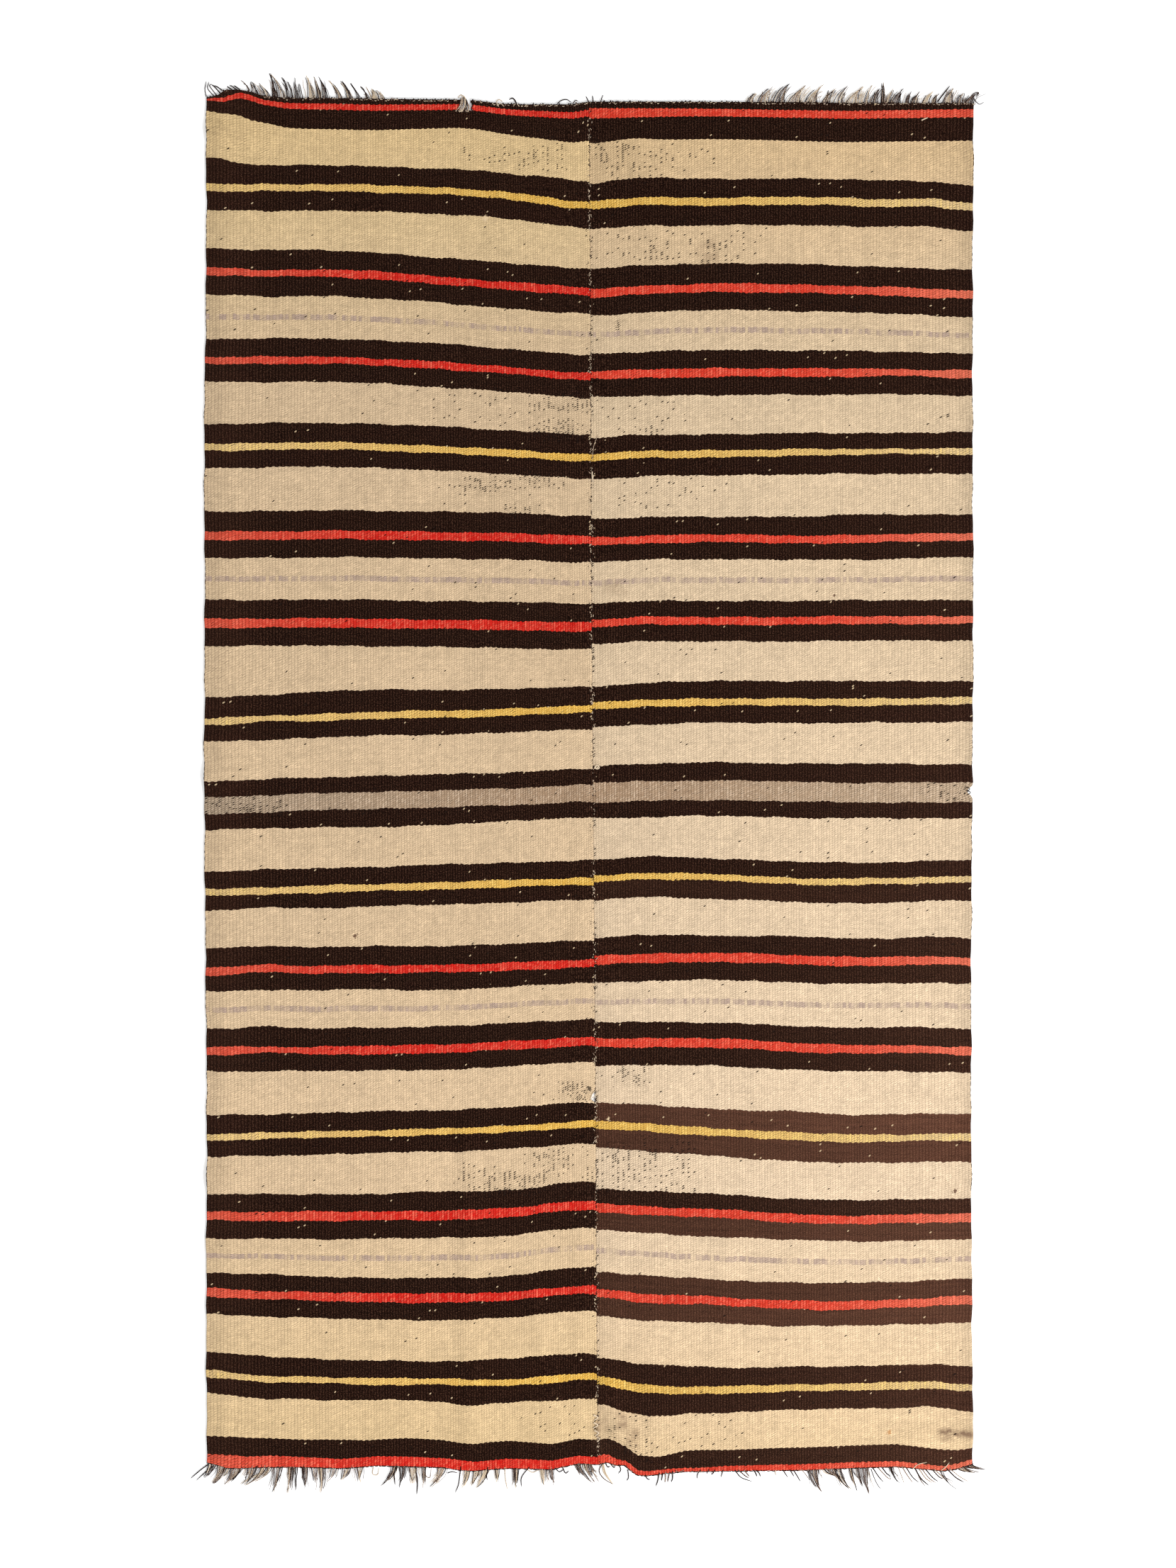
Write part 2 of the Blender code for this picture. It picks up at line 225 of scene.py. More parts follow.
rightChart = {
    "places": (19, 61, 153, 355, 540),
    "groups": [
        ("yellow", 25, 11, 29, (828, 832, 833, 833, 825)),
        ("red", 29, 12, 26, (702, 705, 709, 707, 700)),
        ("red", 24, 12, 26, (585, 586, 588, 588, 586)),
        ("yellow", 23, 10, 26, (467, 470, 472, 474, 475)),
        ("red", 26, 11, 24, (347, 349, 351, 350, 354)),
        ("red", 23, 11, 24, (230, 233, 233, 234, 235)),
        ("yellow", 22, 10, 25, (112, 114, 117, 117, 119)),
        ("grey", 25, 28, 23, (-12, -11, -9, -12, -12)),
        ("yellow", 23, 9, 26, (-136, -132, -133, -140, -136)),
        ("red", 24, 13, 26, (-252, -250, -248, -253, -254)),
        ("red", 23, 13, 26, (-370, -370, -370, -379, -382)),
        ("yellow", 27, 11, (26, 28, 29, 30, 30), (-488, -490, -496, -506, -506)),
        ("red", 22, 12, 25, (-606, -609, -613, -623, -620)),
        ("red", 24, 12, 26, (-728, -734, -738, -746, -738)),
        ("yellow", 25, 10, (30, 29, 28, 27, 30), (-853, -864, -867, -861, -864)),
    ],
    "top": [
        (19, 9.5, 24, 60),
        (153, 10, 21, 54),
        (355, 11.5, 22.5, 56),
        (540, 9, 20.5, 54),
    ],
    "bottom": [
        (9, 35, 12),
        (19, 34.5, 12),
        (34, 34, 9),
        (48, 27.5, 6.5),
        (56, 29, 8.5),
        (65, 28.5, 7),
        (78, 28, 6),
        (94, 25, 5.5),
        (114, 26.5, 5.5),
        (132, 29, 4.5),
        (200, 30, 7),
        (274, 32, 8),
        (371, 32, 8),
        (437, 32, 7.5),
        (468, 31.5, 7),
        (487, 30.5, 6.5),
        (507, 30, 6.5),
        (526, 26.5, 7),
        (545, 23, 6.5),
    ],
    "bends": [
        (3, 3, 70, 35, 4.5),
        (4, 4, 90, 60, 4),
        (4, 4, 300, 120, 2),
        (4, 4, 480, 50, 4),
        (5, 7, 485, 45, 3.8),
        (12, 12, 220, 230, 2.2),
        (14, 15, 440, 55, 3),
        (18, 18, 430, 90, 3),
        (20, 20, 400, 70, 4),
        (28, 28, 270, 300, 3.3),
        (32, 32, 400, 200, 2.2),
        (40, 40, 70, 60, 3.4),
        (40, 40, 300, 80, 3.4),
        (40, 40, 490, 60, 5.5),
        (42, 43, 490, 45, 2.3),
        (44, 44, 460, 120, 3.7),
        (46, 47, 460, 90, 2.6),
        (48, 48, 285, 60, 3.8),
        (48, 48, 480, 60, 3.2),
        (50, 51, 490, 40, 2.2),
        (55, 55, 140, 80, -2.7),
        (56, 56, 80, 40, 3),
        (56, 56, 350, 160, 2.3),
        (59, 59, 370, 110, 3),
        (60, 60, 100, 90, 6.5),
        (60, 60, 335, 40, -2.5),
        (60, 62, 490, 40, 3.5),
        (61, 61, 60, 60, 2.8),
        (61, 62, 335, 40, -2.3),
        (63, 63, 90, 45, -2.8),
        (63, 63, 490, 50, 6),
    ],
}

stripeCount = 66

dyes = {
    # colours as they look under the light, 0 to 255
    "lightLevel": 1.5,
    "dark": (23, 8, 4),
    # painted highlight colour of the dark wool's rib crests
    "darkCrestHighlight": (82, 55, 42),
    "paleDark": (90, 58, 44),
    "cream": (232, 205, 165),
    "creamDown": [
        # y down the cloth, the cream of the left and of the right panel there
        (950, (228, 197, 146), (226, 194, 148)),
        (800, (226, 197, 151), (226, 196, 156)),
        (600, (221, 193, 157), (227, 201, 166)),
        (-600, (226, 197, 160), (232, 206, 174)),
        (-850, (226, 196, 152), (229, 200, 162)),
        (-980, (227, 197, 150), (229, 199, 156)),
    ],
    "left": {"red": (218, 26, 20), "yellow": (236, 183, 78), "grey": (172, 141, 112)},
    "right": {"red": (226, 58, 40), "yellow": (233, 182, 82), "grey": (172, 141, 112)},
    "oldLeft": {"red": (220, 84, 62), "yellow": (228, 193, 136), "grey": (178, 156, 131)},
    "oldRight": {"red": (229, 116, 88), "yellow": (229, 198, 148), "grey": (198, 172, 143)},
    # painted highlight colours of the accents' rib crests
    "crestHighlight": {"red": (254, 126, 100), "yellow": (250, 214, 126), "grey": (222, 197, 170)},
    "greyLine": (176, 152, 140),
    "hole": (34, 24, 20),
    "smudgeAndShade": (136, 110, 88),
    "rust": (190, 138, 88),
    "paleStripes": {38: 0.2, 48: 1.0, 50: 0.85, 54: 0.8, 56: 0.7, 58: 0.8},  # how pale, right panel only
    "linedCreams": (11, 23, 43, 55),
}

wornPatches = [
    # x, y, half width, half height, strength: dark warps show between the wefts
    (-177, 908, 3, 6, 0.7),
    (-167, 903, 3, 9, 0.8),
    (-128, 896, 12, 11, 0.35),
    (-97, 890, 3, 13, 0.8),
    (-90, 893, 5, 7, 0.5),
    (-75, 896, 3, 11, 0.9),
    (-50, 896, 14, 15, 0.4),
    (39, 896, 26, 20, 0.55),
    (110, 880, 60, 18, 0.2),
    (93, 766, 6, 17, 0.6),
    (120, 762, 90, 22, 0.2),
    (172, 760, 13, 15, 0.4),
    (43, 658, 4, 11, 0.8),
    (-42, 545, 34, 9, 0.9),
    (-45, 507, 34, 8, 0.85),
    (-150, 540, 60, 20, 0.12),
    (87, 506, 14, 6, 0.6),
    (85, 530, 60, 20, 0.1),
    (-116, 432, 61, 9, 0.7),
    (-92, 392, 22, 6, 0.6),
    (-45, 428, 22, 6, 0.3),
    (92, 418, 49, 19, 0.12),
    (48, 408, 10, 4, 0.5),
    (-491, -29, 56, 10, 0.6),
    (519, -12, 26, 10, 0.5),
    (-20, -440, 17, 13, 0.7),
    (60, -415, 21, 15, 0.6),
    (-55, -536, 26, 10, 0.7),
    (-110, -569, 59, 13, 0.7),
    (77, -547, 64, 28, 0.45),
    (33, -929, 7, 9, 0.9),
    (55, -947, 14, 10, 0.8),
    (83, -952, 9, 7, 0.5),
    (60, -925, 25, 20, 0.15),
    (170, -925, 50, 20, 0.08),
    (-52, -908, 34, 18, 0.1),
]

smudgeAndShadePatches = [
    # x, y, half width, half height, strength: grey worn places, and painted shade along two folds
    (39, 896, 26, 18, 0.1),
    (172, 760, 13, 15, 0.35),
    (39, 282, 15, 8, 0.5),
    (48, -912, 7, 10, 0.75),
    # painted shade along the fold beside the seam's foot
    (64, -936, 8, 12, 0.65),
    (18, -925, 10, 22, 0.45),
    (-491, -29, 50, 10, 0.05),
    # painted shadow of the fold at the bottom right corner
    (527, -929, 20, 5, 1.7),
    (-515, 930, 26, 10, 0.1),
    (-116, 432, 61, 9, 0.1),
]

speckPatches = [
    # x, y, half width, half height, strength: white warp shows through the worn dark wool
    (-145, 250, 5, 700, 0.02),
    (12, 486, 12, 8, 0.15),
    (84, 483, 6, 8, 0.2),
    (78, 464, 8, 4, 0.15),
    (-243, -754, 18, 5, 0.12),
]

spots = [
    # x, y, radius, dye: small marks and pale nibbles on the stripes
    (-333, -217, 3.0, "paleDark"),
    (352, 270, 2.0, "paleDark"),
    (525, -582, 3.0, "paleDark"),
    (431, -927, 2.8, "rust"),
    (-147, 809, 3.5, "cream"),
    (29, -479, 2.0, "cream"),
    (116, 431, 1.6, "hole"),
    (2, -436, 3.2, "hole"),
    (11, -909, 1.8, "hole"),
    (10, -921, 1.8, "hole"),
    (14, -930, 1.6, "hole"),
    (16, -935, 1.6, "hole"),
    (14, -904, 1.4, "hole"),
]


def eased(keys, values, at):
    # Smooth curve through a table's points: on each span the cubic with the mean slopes at both its ends.
    keys = np.asarray(keys, float)
    values = np.asarray(values, float)
    slopes = np.gradient(values, keys, axis=-1)
    span = np.clip(np.searchsorted(keys, at, side="right") - 1, 0, len(keys) - 2)
    width = keys[span + 1] - keys[span]
    t = np.clip((at - keys[span]) / width, 0, 1)
    low = (2 * t**3 - 3 * t**2 + 1) * values[..., span] + (t**3 - 2 * t**2 + t) * width * slopes[..., span]
    after = span + 1
    high = (3 * t**2 - 2 * t**3) * values[..., after] + (t**3 - t**2) * width * slopes[..., after]
    return low + high


def along(rows, column, at):
    # Straight lines between a table's rows, whose first column is the key, in either order.
    ordered = np.array(sorted(rows), float)
    return np.interp(at, ordered[:, 0], ordered[:, column])


def waves(at, amplitude, lengths, seed):
    # Gentle unevenness: the sum of one sine for each wave length, each at a random phase.
    chance = np.random.default_rng(seed)
    total = np.zeros_like(np.asarray(at, float))
    for length in lengths:
        total += np.sin(2 * np.pi * (at / length + chance.random()))
    return total * amplitude / len(lengths)


def across(nominal, y):
    # Real x of a nominal x: the share of the way from the seam to the selvedge stays, while both wander.
    outer = np.where(nominal < cloth["seamX"], along(sides, 1, y), along(sides, 2, y))
    nominalOuter = np.where(nominal < cloth["seamX"], cloth["outerLeft"], cloth["outerRight"])
    seamAt = along(sides, 3, y)
    return seamAt + (nominal - cloth["seamX"]) / (nominalOuter - cloth["seamX"]) * (outer - seamAt)


def lift(x, y, nominal):
    # Height of the underside: a low swell each side of the seam and a ridge crest*(1-(d/w)^2)^2 at each fold,
    # all calmed to nothing at the two ends, where the cloth lies flat.
    top = along(ends, 1, nominal) - cloth["endBand"] - y
    bottom = y - along(ends, 2, nominal) - cloth["endBand"]
    calm = np.clip((np.minimum(top, bottom) - cloth["endFlat"]) / cloth["endRise"], 0, 1)
    fromSeam = np.abs(nominal - cloth["seamX"]) / cloth["seamSwellMiddle"]
    height = cloth["seamSwell"] * np.maximum(0, 1 - (fromSeam - 1) ** 2)
    for x0, y0, x1, y1, halfWidth, crest in folds:
        share = ((x - x0) * (x1 - x0) + (y - y0) * (y1 - y0)) / ((x1 - x0) ** 2 + (y1 - y0) ** 2)
        share = np.clip(share, 0, 1)
        distance = np.hypot(x - x0 - share * (x1 - x0), y - y0 - share * (y1 - y0))
        height = height + crest * np.maximum(0, 1 - (distance / halfWidth) ** 2) ** 2
    return height * calm


def puckers(x, y, nominal):
    # Finer unevenness of the laid cloth: long soft waves all over, and small gathers beside the seam.
    soft = waves(x + 0.35 * y, 0.45, (210, 133, 87), 3) * waves(y - 0.2 * x, 1.0, (170, 260, 95), 4)
    fromSeam = np.abs(nominal - cloth["seamX"])
    gathers = waves(y + 0.3 * fromSeam, 0.55, (38, 61, 27), 5) * np.exp(-((fromSeam - 12) ** 2) / 900)
    return soft + gathers


def clothTop(x, y, nominal):
    # Height of the top: the underside, the thickness and the puckers.
    return lift(x, y, nominal) + cloth["thickness"] + puckers(x, y, nominal)


def linear(rgb):
    # sRGB 0 to 255 to linear light, over the light that falls on the cloth.
    share = np.asarray(rgb, float) / 255
    return np.where(share <= 0.04045, share / 12.92, ((share + 0.055) / 1.055) ** 2.4) / dyes["lightLevel"]


# Meshes from whole arrays

def meshFrom(name, points, faces, material, uvName, uv):
    # Puts arrays into a smooth mesh: points in millimetres, faces by point number, and a UV map by point.
    mesh = bpy.data.meshes.new(name)
    mesh.from_pydata((points * mm).tolist(), [], faces)
    loops = np.empty(len(mesh.loops), np.int32)
    mesh.loops.foreach_get("vertex_index", loops)
    mesh.uv_layers.new(name=uvName).data.foreach_set("uv", uv[loops].astype(np.float32).ravel())
    mesh.polygons.foreach_set("use_smooth", np.ones(len(mesh.polygons), bool))
    mesh.materials.append(material)
    mesh.update()
    return mesh


def addValues(mesh, domain, values):
    # Named values on points or faces: one number each, or a colour where there are three.
    for key, value in values.items():
        if value.ndim == 1:
            layer = mesh.attributes.new(key, "FLOAT", domain)
            layer.data.foreach_set("value", value.astype(np.float32))
        else:
            layer = mesh.attributes.new(key, "FLOAT_COLOR", domain)
            opaque = np.concatenate([value, np.ones((len(value), 1))], axis=1)
            layer.data.foreach_set("color", opaque.astype(np.float32).ravel())


def pieceOf(name, mesh):
    # A finished object at the origin, on the body root.
    piece = bpy.data.objects.new(name, mesh)
    bpy.context.scene.collection.objects.link(piece)
    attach(piece, "root")
    return piece


# where the next strand's twist starts, and after how much it starts over
twistShift = 2.2
twistLength = 3.6


def tubes(paths, radii, corners):
    # Many closed strands at once. paths is strands x points x 3, radii strands x points. Each point has a
    # ring at right angles to the strand, and a point closes the first and the last ring. The UV map is the
    # way round and the length, which starts elsewhere on each strand, so that their twists don't line up.
    count, steps, _ = paths.shape
    forward = np.gradient(paths, axis=1)
    forward /= np.linalg.norm(forward, axis=2, keepdims=True) + 1e-9
    flat = np.cross(forward, (0.0, 0.0, 1.0))
    flat /= np.linalg.norm(flat, axis=2, keepdims=True) + 1e-9
    upright = np.cross(flat, forward)
    turn = np.arange(corners) * 2 * np.pi / corners
    ring = np.cos(turn)[:, None] * flat[:, :, None] + np.sin(turn)[:, None] * upright[:, :, None]
    body = paths[:, :, None] + ring * radii[:, :, None, None]
    tips = paths[:, [0, -1]]
    points = np.concatenate([body.reshape(count, -1, 3), tips], axis=1)
    side = np.arange(corners)
    after = (side + 1) % corners
    step = np.arange(steps - 1)[:, None] * corners
    walls = np.stack([step + side, step + corners + side, step + corners + after, step + after], axis=-1)
    walls = walls.reshape(-1, 4)
    last = (steps - 1) * corners
    start = np.full(corners, steps * corners)
    capLow = np.stack([start, side, after], axis=-1)
    capHigh = np.stack([start + 1, last + after, last + side], axis=-1)
    offsets = np.arange(count) * points.shape[1]
    quads = (walls[None] + offsets[:, None, None]).reshape(-1, 4)
    caps = (np.concatenate([capLow, capHigh])[None] + offsets[:, None, None]).reshape(-1, 3)
    length = np.linalg.norm(np.diff(paths, axis=1), axis=2).cumsum(axis=1)
    length = np.concatenate([np.zeros((count, 1)), length], axis=1)
    length = length + np.arange(count)[:, None] * twistShift % twistLength
    uvBody = np.stack(np.broadcast_arrays(side[None, None] / corners, length[:, :, None]), axis=-1)
    uvTips = np.stack([np.zeros((count, 2)), length[:, [0, -1]]], axis=-1)
    uv = np.concatenate([uvBody.reshape(count, -1, 2), uvTips], axis=1)
    return points.reshape(-1, 3), quads, caps, uv.reshape(-1, 2), points.shape[1]


def strandPiece(name, paths, radii, corners, material, tones):
    # One mesh of many strands, each with its own tone from 0 (dark) to 1 (pale).
    points, quads, caps, uv, perStrand = tubes(paths, radii, corners)
    mesh = meshFrom(name, points, quads.tolist() + caps.tolist(), material, "strand", uv)
    addValues(mesh, "POINT", {"tone": np.repeat(tones, perStrand)})
    return pieceOf(name, mesh)


# Shader parts: a Value is a node's output, and each sum or call on Values places one node in their tree


class Value:
    def __init__(self, socket):
        self.socket = socket

    def __add__(self, other):
        return calc("ADD", self, other)

    def __sub__(self, other):
        return calc("SUBTRACT", self, other)

    def __rsub__(self, other):
        return calc("SUBTRACT", other, self)

    def __mul__(self, other):
        return calc("MULTIPLY", self, other)

    def __truediv__(self, other):
        return calc("DIVIDE", self, other)

    def __pow__(self, other):
        return calc("POWER", self, other)

    def __abs__(self):
        return calc("ABSOLUTE", self)


def treeOf(*values):
    # The node tree of the first Value among the inputs; the others may be constants.
    return next(value.socket.id_data for value in values if isinstance(value, Value))


def join(value, socket):
    # Links a Value to a socket, or sets a constant on it.
    if isinstance(value, Value):
        socket.id_data.links.new(value.socket, socket)
    else:
        socket.default_value = value


def placed(tree, kind, inputs, output=0, **settings):
    # One node with its settings; inputs go by number or name, and are Values or constants.
    made = tree.nodes.new("ShaderNode" + kind)
    for name, setting in settings.items():
        setattr(made, name, setting)
    for label, value in inputs.items():
        join(value, made.inputs[label])
    return Value(made.outputs[output])


def calc(operation, *values):
    # One Math node: the operation on one, two or three inputs.
    return placed(treeOf(*values), "Math", dict(enumerate(values)), operation=operation)


def ranged(value, fromLow, fromHigh, toLow, toHigh, curve="LINEAR"):
    # The value's place between fromLow and fromHigh, held at both ends, carried over to toLow and toHigh.
    inputs = dict(enumerate((value, fromLow, fromHigh, toLow, toHigh)))
    return placed(treeOf(value), "MapRange", inputs, interpolation_type=curve)


def switched(flag, whereOff, whereOn):
    # whereOff where the flag is 0 and whereOn where it is 1.
    return ranged(flag, 0.0, 1.0, whereOff, whereOn)


def blended(share, first, second, mode="MIX"):
    # Colour: first*(1-share) + second*share, or first times second.
    inputs = {mixSockets["share"]: share, mixSockets["first"]: first, mixSockets["second"]: second}
    return placed(treeOf(first), "Mix", inputs, mixSockets["result"], data_type="RGBA", blend_type=mode)


def attribute(tree, name, output="Fac"):
    # A value or a colour that the mesh holds by point or by face.
    return placed(tree, "Attribute", {}, output, attribute_name=name)


def noise(place, scale, detail=2.0):
    # Soft noise about 0.5 at a place.
    return placed(treeOf(place), "TexNoise", {"Vector": place, "Scale": scale, "Detail": detail}, "Fac")


def diced(x, y):
    # An even chance from 0 to 1 for each pair of numbers.
    return placed(treeOf(x), "TexWhiteNoise", {"Vector": vectorOf(x, y)}, "Value", noise_dimensions="2D")


def vectorOf(x, y, z=0.0):
    # Three numbers as one place.
    return placed(treeOf(x), "CombineXYZ", {0: x, 1: y, 2: z})


def partsOf(place):
    # The x, y and z of a place.
    made = treeOf(place).nodes.new("ShaderNodeSeparateXYZ")
    join(place, made.inputs[0])
    return [Value(socket) for socket in made.outputs]


def newGroup(name, inputs):
    # inputs says the kind of each: Float or Vector.
    group = bpy.data.node_groups.new(name, "ShaderNodeTree")
    for label, kind in inputs.items():
        group.interface.new_socket(name=label, in_out="INPUT", socket_type="NodeSocket" + kind)
    return group, {socket.name: Value(socket) for socket in group.nodes.new("NodeGroupInput").outputs}


def closedGroup(group, results):
    # Gives the group its outputs, all of them numbers.
    for label in results:
        group.interface.new_socket(name=label, in_out="OUTPUT", socket_type="NodeSocketFloat")
    sockets = group.nodes.new("NodeGroupOutput").inputs
    for label, value in results.items():
        join(value, sockets[label])
    return group


def applied(tree, group, **inputs):
    # Places a shared group with its inputs, and gives its outputs by name.
    made = tree.nodes.new("ShaderNodeGroup")
    made.node_tree = group
    for label, value in inputs.items():
        join(value, made.inputs[label])
    return {socket.name: Value(socket) for socket in made.outputs}


mixSockets = {"share": 0, "first": 6, "second": 7, "result": 2}  # of a Mix node that mixes colours

floatShape = {
    # in picks, ribs, or shares of a float
    "ribOffset": 0.7,
    "driftRibs": 0.23,
    "driftPicks": 0.09,
    "roundness": 1.02,
    "toneRibs": 3.7,
    "tonePicks": 0.05,
    "edgeBulge": 0.14,
    "edgeSpread": 0.24,
    "gapHalfHeight": 0.44,
    "gapHalfWidth": 0.5,
    "gapsApart": 0.45,
    "runRibs": 0.6,
    "runLines": 0.8,
}


def weftFloats(shape):
    # Bricks of weft over the ribs. x counts ribs and y counts picks. Every second rib is half a pick lower,
    # each rib has a random offset of its own, each float slants, and a slow noise shifts each rib's picks.
    # Round is a rounded bar sqrt(1.02-w^2) and Height the same with sunk ends, Tone and RibTone are chances
    # by float and by rib, Scallop is how far in picks a colour's edge bulges, Gap is a round spot between two
    # floats on one rib, GapTone its chance, Slit the thin line through it, and Run a slow chance that is
    # alike on a few ribs along one slanting line.
    inputs = {"Place": "Vector", "Slant": "Float", "Wander": "Float", "EndDip": "Float"}
    group, given = newGroup("weftFloats", inputs)
    x, y, _ = partsOf(given["Place"])
    rib = calc("FLOOR", x)
    aside = x - rib - 0.5
    parity = calc("FLOORED_MODULO", rib, 2.0)
    drift = noise(vectorOf(rib * shape["driftRibs"], y * shape["driftPicks"]), 1.0, 1.0) - 0.5
    run = parity * 0.5 + y + given["Slant"] * aside
    run = diced(rib, 7.3) * shape["ribOffset"] + run
    run = drift * given["Wander"] + run
    pick = calc("FLOOR", run)
    wide = abs(aside) * 2.0
    long = abs(run - pick - 0.5) * 2.0
    roundBar = calc("SQRT", shape["roundness"] - wide**2.0)
    ribTone = noise(vectorOf(rib * shape["toneRibs"], y * shape["tonePicks"]), 1.0, 1.0)
    ribTone = ranged(ribTone, 0.28, 0.72, 0.0, 1.0)
    bulge = calc("SINE", x * np.pi) * shape["edgeBulge"]
    border = calc("FLOOR", run + 0.5)
    fromBorder = run - border
    spot = (fromBorder / shape["gapHalfHeight"]) ** 2.0 + (aside / shape["gapHalfWidth"]) ** 2.0
    line = rib * 0.5 + (y - fromBorder)
    results = {
        "Height": roundBar * (1.0 - long**4.0 * given["EndDip"]),
        "Round": roundBar,
        "Tone": diced(rib, pick),
        "RibTone": ribTone,
        "Scallop": (ribTone - 0.5) * shape["edgeSpread"] + bulge,
        "Gap": ranged(spot, 1.1, 0.4, 0.0, 1.0),
        "GapTone": diced(rib, border + 0.37) + parity * shape["gapsApart"],
        "Slit": ranged(long, 0.68, 0.92, 0.0, 1.0),
        "Run": noise(vectorOf(rib * shape["runRibs"], line * shape["runLines"], 5.0), 1.0, 1.0),
    }
    return closedGroup(group, results)


def yarnPly():
    # Two-ply twist on a strand. x is once around, y is the length in millimetres; Ply is 0 or 1 by which ply
    # is on top, and Height is the round of each ply, |sin|.
    group, given = newGroup("yarnPly", {"Place": "Vector", "TurnsPerMm": "Float"})
    around, length, _ = partsOf(given["Place"])
    wave = calc("SINE", (around + length * given["TurnsPerMm"]) * (2 * np.pi))
    return closedGroup(group, {"Ply": ranged(wave, -0.4, 0.4, 0.0, 1.0), "Height": abs(wave)})


def woolFuzz():
    # Fine fibre on wool yarn: a fast and a slow noise on the object's own place, as a shade about 1, and the
    # fast one as a height.
    group, given = newGroup("woolFuzz", {"Place": "Vector", "Strength": "Float"})
    fine = noise(given["Place"], 1400.0, 3.0)
    soft = noise(given["Place"], 90.0, 3.0)
    return closedGroup(group, {"Shade": (fine + soft - 1.0) * given["Strength"] + 1.0, "Height": fine})


def newMaterial(name, roughness):
    # Also gives the tree, the shader and the object's own place.
    material = bpy.data.materials.new(name)
    material.use_nodes = True
    tree = material.node_tree
    shader = tree.nodes["Principled BSDF"]
    shader.inputs["Roughness"].default_value = roughness
    shader.inputs["Specular IOR Level"].default_value = 0.03
    return material, tree, shader, placed(tree, "TexCoord", {}, "Object")


def bumped(shader, height, look):
    # A height by Value lifts the shader's surface by up to bumpDepth millimetres.
    inputs = {"Height": height, "Strength": look["bump"], "Distance": look["bumpDepth"] * mm}
    join(placed(treeOf(height), "Bump", inputs), shader.inputs["Normal"])


def rgba(rgb):
    # A colour of 0 to 255 as a shader's colour.
    return tuple(float(part) for part in linear(rgb)) + (1.0,)


